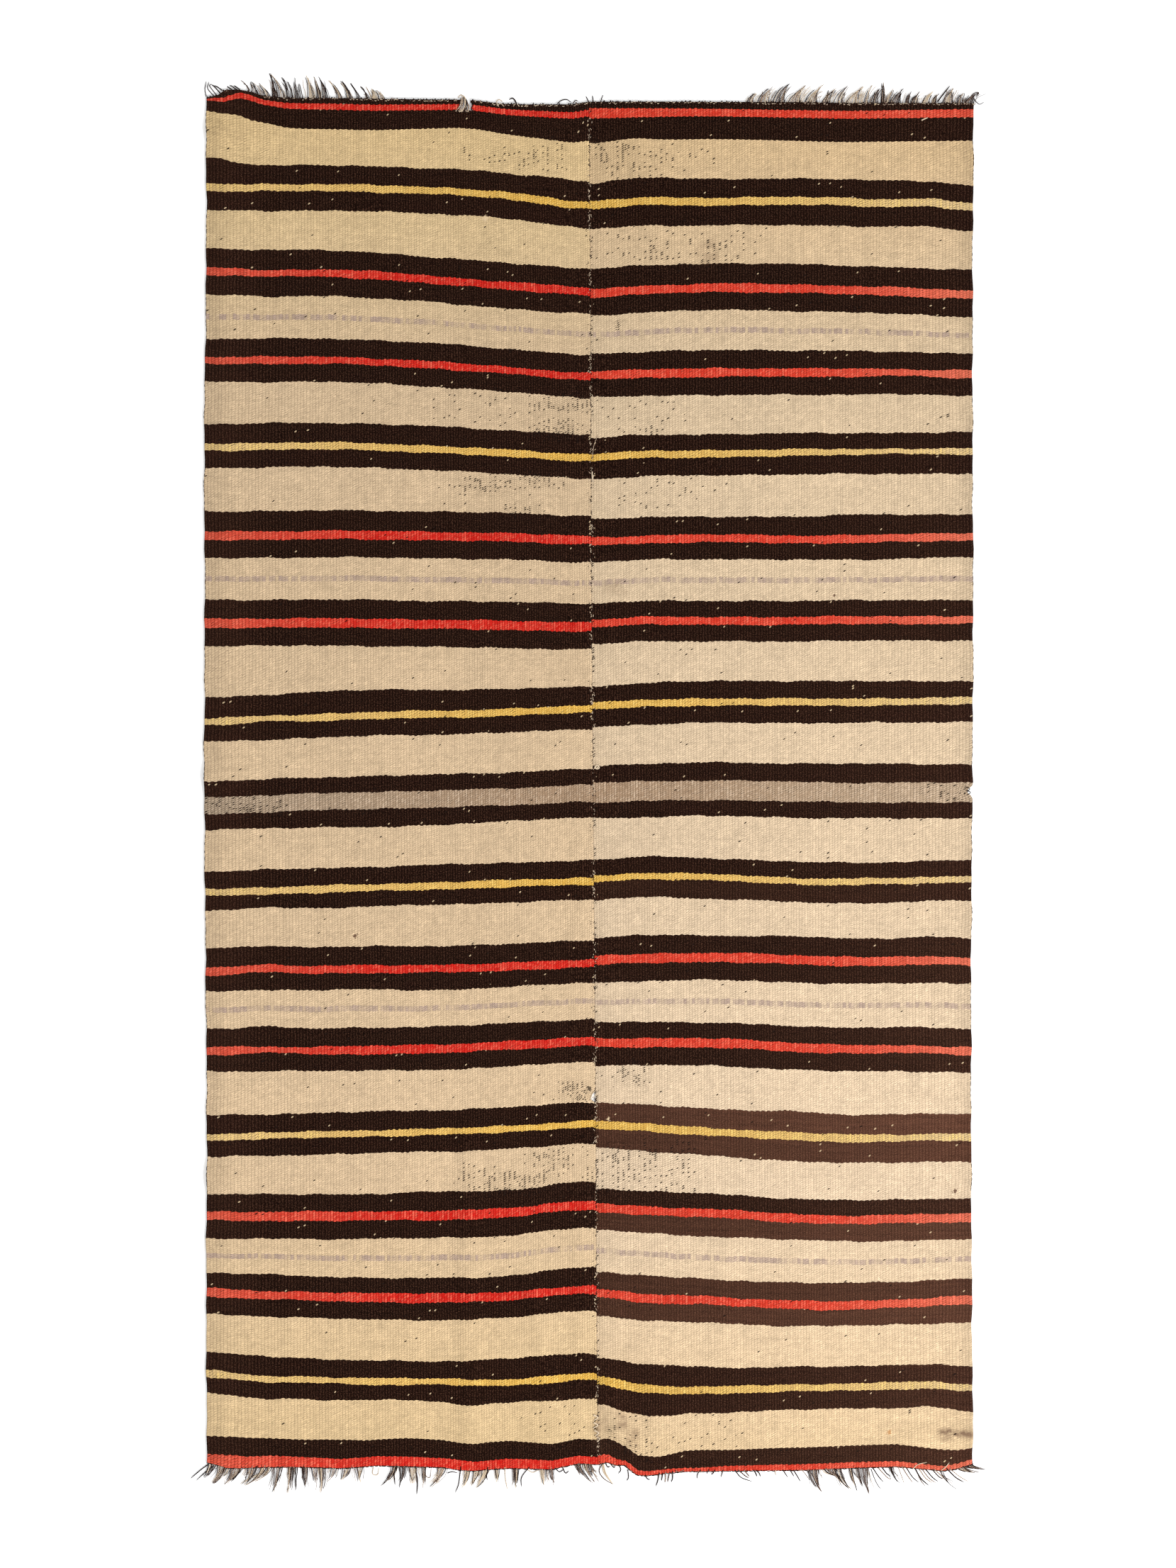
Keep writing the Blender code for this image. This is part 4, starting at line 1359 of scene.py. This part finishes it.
strays = {
    # tone, radius, then x, y of a few points from the root to the tip
    "fringe_top_left": [
        (0.1, 0.6, (-546, 983), (-548, 994), (-546, 1006)),
        (0.1, 0.6, (-535, 984), (-544, 995), (-542, 1005)),
        (0.2, 0.6, (-531, 985), (-541, 998), (-539, 1001)),
        (0.05, 0.8, (-526, 988), (-533, 996), (-539, 1001)),
        (0.05, 0.8, (-523, 992), (-530, 997), (-535, 999)),
        (0.05, 0.8, (-509, 993), (-515, 997), (-516, 998)),
        (0.05, 0.8, (-503, 993), (-509, 998), (-513, 999)),
        (0.05, 0.8, (-498, 993), (-503, 997), (-507, 999)),
        (0.5, 0.6, (-485, 992), (-490, 1001), (-497, 1007)),
        (0.2, 0.6, (-484, 992), (-488, 999), (-493, 1002)),
        (0.05, 0.8, (-444, 985), (-450, 998), (-454, 1017)),
        (0.7, 0.6, (-355, 982), (-363, 996), (-370, 1007)),
        (0.7, 0.6, (-309, 981), (-314, 991), (-318, 998)),
        (0.05, 0.7, (-337, 982), (-345, 996), (-352, 1006)),
        (0.9, 0.7, (-189, 962), (-182, 972), (-180, 984)),
        (0.1, 0.6, (-187, 962), (-179, 971), (-178, 985)),
        (0.95, 0.7, (-184, 961), (-176, 969), (-176, 982), (-183, 986)),
        (0.4, 0.6, (-180, 961), (-173, 969), (-175, 981)),
        (0.1, 0.7, (-177, 961), (-176, 967), (-174, 976), (-178, 982)),
        (0.95, 0.6, (-174, 961), (-175, 966), (-171, 973)),
        (0.8, 0.5, (-186, 982), (-181, 986), (-175, 979)),
        (0.7, 0.8, (-185, 962), (-180, 970), (-179, 983)),
        (0.9, 0.8, (-181, 961), (-176, 970), (-177, 982)),
        (0.4, 0.7, (-188, 963), (-183, 972), (-182, 982)),
        (0.05, 0.7, (-178, 961), (-173, 968), (-174, 980)),
        (0.5, 0.7, (-175, 961), (-171, 966), (-173, 978)),
        (0.9, 0.6, (-172, 961), (-170, 967), (-171, 972)),
    ],
    "fringe_top_notch": [
        (0.05, 0.8, (-164, 960), (-167, 966), (-164, 971)),
        (0.95, 0.7, (-128, 969), (-131, 976), (-127, 979), (-122, 976)),
        (0.8, 0.6, (-120, 969), (-125, 973), (-129, 971)),
        (0.05, 1.0, (-102, 970), (-104, 977), (-108, 981), (-113, 979)),
        (0.9, 0.6, (-98, 969), (-103, 973), (-107, 969)),
        (0.1, 0.7, (-76, 967), (-78, 971), (-78, 975)),
        (0.1, 0.7, (-44, 973), (-38, 978), (-30, 979), (-24, 975)),
        (0.3, 0.6, (-22, 973), (-18, 978), (-14, 977)),
        (0.1, 0.7, (1, 975), (-1, 980), (-3, 984)),
    ],
    "fringe_top_right": [
        (0.1, 0.7, (7, 975), (7, 981), (6, 985)),
        (0.2, 0.6, (18, 976), (20, 982), (22, 986)),
        (0.05, 0.8, (343, 973), (342, 983), (344, 993)),
        (0.05, 0.9, (500, 976), (509, 988), (518, 999)),
        (0.05, 0.7, (423, 975), (424, 989), (423, 1000)),
        (0.05, 0.6, (552, 981), (554, 977), (560, 972), (567, 976)),
        (0.3, 0.7, (544, 977), (551, 987), (559, 989), (555, 983)),
    ],
    "fringe_bottom_left": [
        (0.05, 0.8, (-543, -973), (-555, -982), (-569, -994)),
        (0.05, 0.7, (-537, -976), (-547, -984), (-561, -997)),
        (0.85, 0.6, (-307, -977), (-308, -987), (-301, -988), (-299, -977)),
        (0.05, 0.8, (-278, -977), (-277, -991), (-276, -1003)),
        (0.05, 0.8, (-270, -977), (-268, -993), (-270, -1007)),
        (0.05, 0.9, (-247, -977), (-244, -998), (-245, -1017)),
        (0.6, 0.5, (-232, -977), (-232, -989), (-226, -992), (-224, -977)),
        (0.05, 0.6, (-201, -986), (-194, -984), (-186, -986)),
        (0.05, 0.7, (-182, -976), (-185, -1001), (-190, -1014)),
        (0.05, 0.7, (-143, -977), (-145, -987), (-144, -996)),
        (0.85, 0.6, (-119, -977), (-118, -994), (-115, -1010)),
        (0.05, 0.7, (-84, -977), (-95, -992), (-95, -1006)),
        (0.9, 0.6, (-88, -980), (-79, -985), (-70, -981), (-64, -984)),
        (0.05, 0.7, (-47, -978), (-41, -984), (-34, -980)),
        (0.05, 0.7, (-36, -978), (-32, -986), (-27, -982)),
        (0.6, 0.6, (2, -973), (9, -987), (16, -999)),
        (0.7, 0.5, (2, -984), (8, -983), (14, -983)),
        (0.5, 0.6, (-18, -973), (-14, -983), (-11, -989)),
    ],
    "fringe_bottom_right": [
        (0.4, 0.7, (21, -971), (16, -983), (23, -994), (36, -1002)),
        (0.95, 0.9, (21, -973), (23, -985), (35, -1001)),
        (0.95, 0.8, (22, -973), (26, -987), (36, -1002)),
        (0.1, 0.7, (25, -970), (28, -977), (32, -976)),
        (0.1, 0.7, (33, -973), (37, -978), (39, -975)),
        (0.05, 0.7, (44, -973), (47, -981), (43, -987)),
        (0.1, 0.7, (57, -981), (58, -992), (55, -997)),
        (0.1, 0.8, (82, -988), (85, -994), (89, -995)),
        (0.05, 0.8, (102, -985), (100, -996), (97, -1005)),
        (0.05, 0.8, (107, -985), (106, -992), (105, -997)),
        (0.6, 0.8, (111, -984), (111, -993), (110, -1000)),
        (0.4, 0.8, (117, -984), (115, -993), (114, -999)),
        (0.05, 0.8, (121, -983), (121, -993), (119, -999)),
        (0.5, 0.7, (125, -982), (130, -984), (138, -981)),
        (0.05, 0.7, (161, -981), (157, -987), (156, -994)),
        (0.1, 0.7, (173, -980), (171, -984), (170, -987)),
        (0.1, 0.7, (181, -981), (179, -986), (176, -988)),
        (0.05, 0.7, (193, -981), (192, -986), (190, -992)),
        (0.05, 0.7, (210, -981), (219, -992), (235, -998)),
        (0.4, 0.8, (215, -981), (224, -989), (230, -993)),
        (0.5, 0.8, (223, -981), (228, -987), (231, -991)),
        (0.05, 0.8, (237, -981), (240, -986), (242, -991)),
        (0.1, 0.8, (241, -981), (245, -986), (247, -991)),
        (0.8, 0.6, (268, -981), (268, -985), (269, -989)),
        (0.1, 0.7, (279, -981), (282, -986), (286, -992)),
        (0.1, 0.7, (289, -981), (292, -986), (295, -991)),
        (0.05, 0.7, (294, -981), (300, -991), (304, -998)),
        (0.6, 0.5, (305, -980), (311, -987), (317, -996)),
        (0.1, 0.5, (405, -980), (411, -996), (416, -1005), (420, -1009)),
        (0.1, 0.7, (408, -979), (416, -991), (423, -999)),
        (0.6, 0.7, (415, -978), (427, -991), (433, -995)),
        (0.05, 0.8, (421, -978), (427, -986), (433, -991)),
        (0.7, 0.5, (444, -977), (448, -988), (453, -1002)),
        (0.6, 0.7, (449, -976), (457, -989), (465, -1000)),
        (0.05, 0.7, (455, -977), (464, -991), (474, -1000)),
        (0.5, 0.6, (470, -983), (476, -996), (483, -1005)),
        (0.05, 0.9, (468, -979), (476, -993), (488, -1004)),
        (0.7, 0.7, (474, -980), (483, -993), (493, -1000)),
        (0.6, 0.7, (478, -980), (488, -993), (498, -1000)),
        (0.05, 0.8, (483, -980), (493, -992), (501, -998)),
        (0.3, 0.8, (492, -980), (502, -991), (508, -994)),
        (0.7, 0.7, (495, -980), (507, -991), (515, -999)),
        (0.2, 0.9, (513, -979), (526, -992), (538, -999)),
        (0.7, 0.6, (517, -979), (532, -991), (546, -999)),
        (1.0, 0.6, (464, -980), (472, -973), (485, -970)),
        (1.0, 0.6, (505, -982), (512, -976), (517, -970)),
    ],
}

bands = [
    # node, end, x0, x1
    ("fringe_top_left", "top", -547, -174),
    ("fringe_top_notch", "top", -162.5, 7.7),
    ("fringe_top_right", "top", 8.3, 550),
    ("fringe_bottom_left", "bottom", -547, 7.7),
    ("fringe_bottom_right", "bottom", 8.3, 550),
]


outwards = {"top": 1, "bottom": -1}
endColumns = {"top": 1, "bottom": 2}
endY = 980.0  # about how far from the middle both ends lie


def nominalAt(x, y):
    # The nominal x of a real x, the other way round from across.
    seamAt = along(sides, 3, y)
    isLeft = x < seamAt
    outer = np.where(isLeft, along(sides, 1, y), along(sides, 2, y))
    nominalOuter = np.where(isLeft, cloth["outerLeft"], cloth["outerRight"])
    return cloth["seamX"] + (x - seamAt) / (outer - seamAt) * (nominalOuter - cloth["seamX"])


def endAt(x, end):
    # y of the cloth's end at a real x.
    return along(ends, endColumns[end], nominalAt(x, endY * outwards[end]))


def lockStrands(rows, end, chance):
    # A lock's middle is a Bezier curve that leaves the end straight and leans over to the tip. A strand keeps
    # its distance from it, times (1-s)^1.15 plus a random share of tipsApart*s, and wobbles a little. One
    # strand of a lock reaches the tip, and the others stop short of it by chance.
    counts = [int(row[4] * fringe["strandsShare"]) for row in rows]
    x0, x1, tipX, tipY, tone = (np.repeat([row[part] for row in rows], counts) for part in (0, 1, 2, 3, 5))
    size = np.repeat(counts, counts)
    total = len(x0)
    order = np.concatenate([np.arange(count) for count in counts])
    rootX = x0 + (x1 - x0) * (order + 0.5 + chance.uniform(-0.3, 0.3, total)) / size
    rootY = endAt(rootX, end)
    middleX = (x0 + x1) / 2
    middleY = endAt(middleX, end)
    lean = tipX - middleX
    reach = tipY - middleY
    t = np.linspace(0, 1, fringe["steps"])[None]
    s = t * np.where(order == size // 2, 1.0, chance.uniform(0.55, 1.0, total))[:, None]
    parts = ((1 - s) ** 3, 3 * (1 - s) ** 2 * s, 3 * (1 - s) * s**2, s**3)
    shifts = ((0, 0), (0.05, 0.38), (0.55, 0.75), (1, 1))
    x = middleX[:, None] + lean[:, None] * sum(part * shift[0] for part, shift in zip(parts, shifts))
    y = middleY[:, None] + reach[:, None] * sum(part * shift[1] for part, shift in zip(parts, shifts))
    apart = fringe["tipsApart"] * chance.uniform(-1.2, 1.6, (total, 1))
    x += (rootX - middleX)[:, None] * ((1 - s) ** 1.15 + apart * s)
    phase = chance.uniform(0, 2 * np.pi, (total, 1))
    x += fringe["wobble"] * s * np.sin(chance.uniform(4, 9, (total, 1)) * s + phase)
    y += (rootY - middleY)[:, None] * (1 - s) - outwards[end] * fringe["tuck"] * (1 - t) ** 6
    low, mid, high = (chance.uniform(*span, (total, 1)) for span in fringe["heights"])
    z = low * (1 - s) ** 2 + 2 * mid * s * (1 - s) + high * s**2
    taper = np.interp(t, (0, 0.6, 0.92, 1), (1, 0.95, 0.75, 0.35))
    radii = fringe["strandRadius"] * chance.uniform(0.75, 1.15, (total, 1)) * taper
    isOuter = (size > 1) & ((order == 0) | (order == size - 1))
    inner = np.clip(tone + fringe["paler"] + chance.normal(0, fringe["toneSpread"], total), 0, 1)
    tones = np.where(isOuter, chance.uniform(0, 0.25, total), inner)
    return np.stack([x, y, z], -1), radii, tones


def wispRows(rows, end, chance):
    # Fine single ends among the locks, as rows of one strand: each leans like its lock and is mostly shorter.
    made = []
    for x0, x1, tipX, tipY, size, tone in rows:
        count = round(size * fringe["wispsPerStrand"])
        rootX = chance.uniform(x0 - 2, x1 + 2, count)
        share = chance.uniform(0.3, 0.97, count)
        lean = (tipX - (x0 + x1) / 2) * share * chance.uniform(0.4, 1.6, count)
        rootY = endAt(rootX, end)
        reach = rootY + (tipY - rootY) * share
        made += [(x, x, x + aside, y, 1, tone) for x, aside, y in zip(rootX, lean, reach)]
    return made


def strayStrands(rows, end):
    # Single strands through a table's points: they lie on the cloth, and sink to the floor from 1.5 inside
    # its end to 4 outside it.
    t = np.linspace(0, 1, fringe["steps"])
    taper = np.interp(t, (0, 0.7, 0.95, 1), (1, 0.95, 0.6, 0.25))
    paths = []
    for _, radius, *points in rows:
        points = np.array(points, float)
        x, y = eased(np.arange(len(points)), points.T, t * (len(points) - 1))
        onCloth = clothTop(x, y, nominalAt(x, y)) + radius
        outside = outwards[end] * (y - endAt(x, end))
        share = np.clip((outside + 1.5) / 5.5, 0, 1)
        paths.append(np.stack([x, y, onCloth * (1 - share) + (radius + 0.3) * share], -1))
    radii = np.array([row[1] for row in rows])[:, None] * taper
    return np.array(paths), radii, np.array([row[0] for row in rows], float)


def shortStrands(starts, tips, radius, tones, arch=0.5, sag=0.0):
    # Bits with rounded ends, a low arch, and a sag towards the foot of the cloth.
    t = np.linspace(0, 1, fringe["steps"])[None, :, None]
    paths = starts[:, None] * (1 - t) + tips[:, None] * t
    paths[..., 2] += arch * 4 * t[..., 0] * (1 - t[..., 0])
    paths[..., 1] -= np.multiply.outer(sag * np.ones(len(starts)), np.sin(np.pi * t[0, :, 0]))
    radii = radius[:, None] * np.interp(t[..., 0], (0, 0.15, 0.85, 1), (0.5, 1, 1, 0.5))
    return paths, radii, tones


def edgeKnots(end, start, stop, chance):
    # At the top short dark knots across the cut end, about one at each rib, and pale loops of warp just
    # inside it. At the bottom dark bits that lie along the cut end.
    pitch = fringe["knotPitch" if end == "top" else "bottomKnotPitch"]
    count = int((stop - start) / pitch)
    x = across(start + (np.arange(count) + 0.5) * (stop - start) / count, endY * outwards[end])
    y = endAt(x, end)
    radii = chance.uniform(*fringe["knotRadius"], count)
    tones = chance.choice([0.0, 0.1, 0.5], count, p=[0.6, 0.25, 0.15])
    if end == "bottom":
        half = chance.uniform(*fringe["bottomKnotHalf"], count)
        low, high = x - half, x + half
        level = chance.uniform(0.8, 2.9, (2, count))
        starts = np.stack([low, endAt(low, end) - chance.uniform(0, 1.3, count), level[0]], -1)
        tips = np.stack([high, endAt(high, end) - chance.uniform(0, 1.3, count), level[1]], -1)
        return [shortStrands(starts, tips, radii * 0.8, tones)]
    length = chance.uniform(*fringe["knotLength"], count)
    starts = np.stack([x, y - 2.5, np.full(count, 2.3)], -1)
    tips = np.stack([x + chance.uniform(-1.6, 1.6, count), y + length, chance.uniform(0.9, 2.2, count)], -1)
    knots = shortStrands(starts, tips, radii, tones)
    isBead = (chance.random(count) < fringe["beadChance"]) & (x > fringe["beadsFrom"])
    count = np.sum(isBead)
    x = x[isBead] + chance.uniform(-1, 1.5, count)
    y = y[isBead] - chance.uniform(0.2, 2.2, count)
    z = clothTop(x, y, nominalAt(x, y)) + 0.25
    half = chance.uniform(0.8, 2.1, count)
    rise = chance.uniform(-0.5, 0.5, count)
    starts = np.stack([x - half, y - rise, z], -1)
    tips = np.stack([x + half, y + rise, z], -1)
    sag = chance.uniform(-0.4, 1.6, count)
    radii = chance.uniform(*fringe["beadRadius"], count)
    tones = chance.uniform(0.7, 1, count)
    return [knots, shortStrands(starts, tips, radii, tones, 0.3, sag)]


def warpEnds(node, end, start, stop, seed):
    # All the strands of one stretch of fringe, as one piece.
    chance = np.random.default_rng(seed)
    sets = []
    if node in locks:
        sets.append(lockStrands(locks[node], end, chance))
        paths, radii, tones = lockStrands(wispRows(locks[node], end, chance), end, chance)
        sets.append((paths, radii * fringe["wispRadius"], tones))
    sets.append(strayStrands(strays[node], end))
    sets += edgeKnots(end, start, stop, chance)
    paths, radii, tones = (np.concatenate([item[part] for item in sets]) for part in range(3))
    name = node.replace("fringe", "warp_ends")
    piece = strandPiece(name, paths, radii, fringe["sides"], materials["warp"], tones)
    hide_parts(node)
    print(name, len(tones), "strands")
    return piece


for bandNumber, (node, end, start, stop) in enumerate(bands):
    warpEnds(node, end, start, stop, 40 + bandNumber)


# The outer warp shows in short dark arcs along the selvedges of the cream stripes

selvedge = {
    "count": 170,
    "top": 965,
    "bottom": -960,
    "spacing": (5, 13),
    "length": (4, 9),
    "bulge": 0.7,
    "inset": 0.9,
    "sunk": 0.4,
    "radius": 0.55,
}


def selvedgeArcs(name, chart, side, seed):
    # Arcs at random places down the edge, kept where they lie on a cream, whose number is 3 modulo 4. Each
    # bulges by bulge*4t(1-t) from a line just inside the edge.
    chance = np.random.default_rng(seed)
    nominal = float(cloth["outerLeft"] if side < 0 else cloth["outerRight"])
    lines = stripeLines(chart, np.array([nominal]), seed)[:, 0]
    low = selvedge["top"] - np.cumsum(chance.uniform(*selvedge["spacing"], selvedge["count"]))
    length = chance.uniform(*selvedge["length"], selvedge["count"])
    stripe = np.searchsorted(-lines, -(low + length / 2)) - 1
    onCream = (stripe % 4 == 3) & (low > selvedge["bottom"])
    low, length = low[onCream, None], length[onCream, None]
    t = np.linspace(0, 1, fringe["steps"])[None]
    y = low + length * t
    nominal = np.full(y.shape, nominal)
    edge = across(nominal, y) + edgeWander(y, side, seed)
    x = edge + side * (selvedge["bulge"] * 4 * t * (1 - t) - selvedge["inset"])
    z = clothTop(edge, y, nominal) - selvedge["sunk"]
    radii = selvedge["radius"] * np.interp(t, (0, 0.2, 0.8, 1), (0.4, 1, 1, 0.4)) * np.ones((len(low), 1))
    tones = chance.uniform(0, 0.25, len(low))
    piece = strandPiece(name, np.stack([x, y, z], -1), radii, fringe["sides"], materials["warp"], tones)
    return piece


leftSelvedge = selvedgeArcs("selvedge_warp_left", leftChart, -1, 100)
rightSelvedge = selvedgeArcs("selvedge_warp_right", rightChart, 1, 200)


# The hand-sewn seam: small pale bits of thread on the dark stripes, and the mends and knots by hand

seam = {
    "count": 760,
    "creamShare": 0.8,  # how many of the bits off the dark stripes are kept
    "top": 966,
    "bottom": -960,
    "spread": 1.5,
    "length": (1.0, 4.2),
    "radius": (0.3, 0.55),
    "seed": 21,
}

mends = [
    # tone, radius, then x, y of a few points
    (1.0, 1.1, (8, -902), (14, -906), (8, -910)),
    (1.0, 1.1, (8, -913), (14, -917), (7, -921)),
    (1.0, 1.1, (9, -924), (15, -928), (10, -932)),
    (1.0, 0.8, (12, -934), (17, -936), (14, -940)),
    (1.0, 0.5, (3, -452), (11, -444), (19, -436)),
    (1.0, 0.5, (4, -449), (7, -442), (12, -438)),
    (1.0, 1.0, (9, 22), (13, 27), (16, 23), (12, 21)),
    (1.0, 1.0, (10, 26), (12, 22), (16, 27)),
    (0.95, 0.9, (6, 447), (6, 440), (7, 432)),
    (1.0, 0.6, (8, 442), (7, 437), (8, 431)),
    (0.8, 0.4, (14, 499), (8, 482), (6, 462)),
    (0.05, 0.6, (540, -4), (546, -7), (541, -12)),
    (0.05, 0.6, (541, -9), (547, -12), (542, -16)),
    (1.0, 0.9, (477, 949), (481, 951), (486, 953)),
]


def seamThread():
    # Bits at random steep angles: pale thread where the left panel's stripe is dark, mostly dark bits on its
    # other stripes. The mends follow as single strands.
    chance = np.random.default_rng(seam["seed"])
    count = seam["count"]
    y = chance.uniform(seam["bottom"], seam["top"], count)
    lines = stripeLines(leftChart, np.array([float(cloth["seamX"])]), 100)[:, 0]
    onDark = (np.searchsorted(-lines, -y) - 1) % 2 == 0
    kept = onDark | (chance.random(count) < seam["creamShare"])
    y, onDark = y[kept], onDark[kept]
    count = len(y)
    x = along(sides, 3, y) + chance.normal(0, seam["spread"], count)
    length = chance.uniform(*seam["length"], count)
    slope = chance.uniform(-0.9, 0.9, count)
    shift = np.stack([np.sin(slope) * length / 2, np.cos(slope) * length / 2], -1)
    z = clothTop(x, y, np.full(count, float(cloth["seamX"]))) + 0.05
    starts = np.stack([x - shift[:, 0], y - shift[:, 1], z], -1)
    tips = np.stack([x + shift[:, 0], y + shift[:, 1], z], -1)
    radius = chance.uniform(*seam["radius"], count)
    tones = np.where(onDark, chance.uniform(0.75, 1.0, count), chance.choice([0.0, 0.15, 0.45, 0.95], count))
    bits = shortStrands(starts, tips, radius, tones, 0.25)
    sets = (bits, strayStrands(mends, "top"))
    paths, radii, tones = (np.concatenate([item[part] for item in sets]) for part in range(3))
    piece = strandPiece("seam_stitches", paths, radii, fringe["sides"], materials["sewing"], tones)
    return piece


seamStitches = seamThread()
print("seam sewn")


# Floor, light and camera

studio = {
    "floorSize": 24,
    "floorDrop": 0.3,
    "floorColour": 0.93,
    "ambient": 1.08,
    "lampPlace": (2.4, -2.0, 2.8),
    "lampSize": 1.0,
    "lampPower": 150,
    "cameraHeight": 6.232,
    "lens": 100,
}


def studioSetup():
    # A pale floor just below the cloth, even light, one soft lamp and the camera straight above.
    bpy.ops.mesh.primitive_plane_add(size=studio["floorSize"], location=(0, 0, -studio["floorDrop"] * mm))
    floor = bpy.context.object
    floor.name = "floor"
    material = bpy.data.materials.new("pale_floor")
    material.use_nodes = True
    shader = material.node_tree.nodes["Principled BSDF"]
    shader.inputs["Base Color"].default_value = (studio["floorColour"],) * 3 + (1.0,)
    shader.inputs["Roughness"].default_value = 0.9
    floor.data.materials.append(material)

    world = bpy.data.worlds.new("studio")
    world.use_nodes = True
    world.node_tree.nodes["Background"].inputs["Color"].default_value = (1, 1, 1, 1)
    world.node_tree.nodes["Background"].inputs["Strength"].default_value = studio["ambient"]
    bpy.context.scene.world = world

    lamp = bpy.data.lights.new("soft_lamp", "AREA")
    lamp.energy = studio["lampPower"]
    lamp.size = studio["lampSize"]
    lampObject = bpy.data.objects.new("soft_lamp", lamp)
    lampObject.location = studio["lampPlace"]
    direction = -lampObject.location
    lampObject.rotation_euler = direction.to_track_quat("-Z", "Y").to_euler()
    bpy.context.scene.collection.objects.link(lampObject)

    camera = bpy.data.cameras.new("camera")
    camera.lens = studio["lens"]
    cameraObject = bpy.data.objects.new("camera", camera)
    cameraObject.location = (0, 0, studio["cameraHeight"])
    bpy.context.scene.collection.objects.link(cameraObject)
    bpy.context.scene.camera = cameraObject
    bpy.context.scene.view_settings.view_transform = "Standard"


studioSetup()
print("studio set")
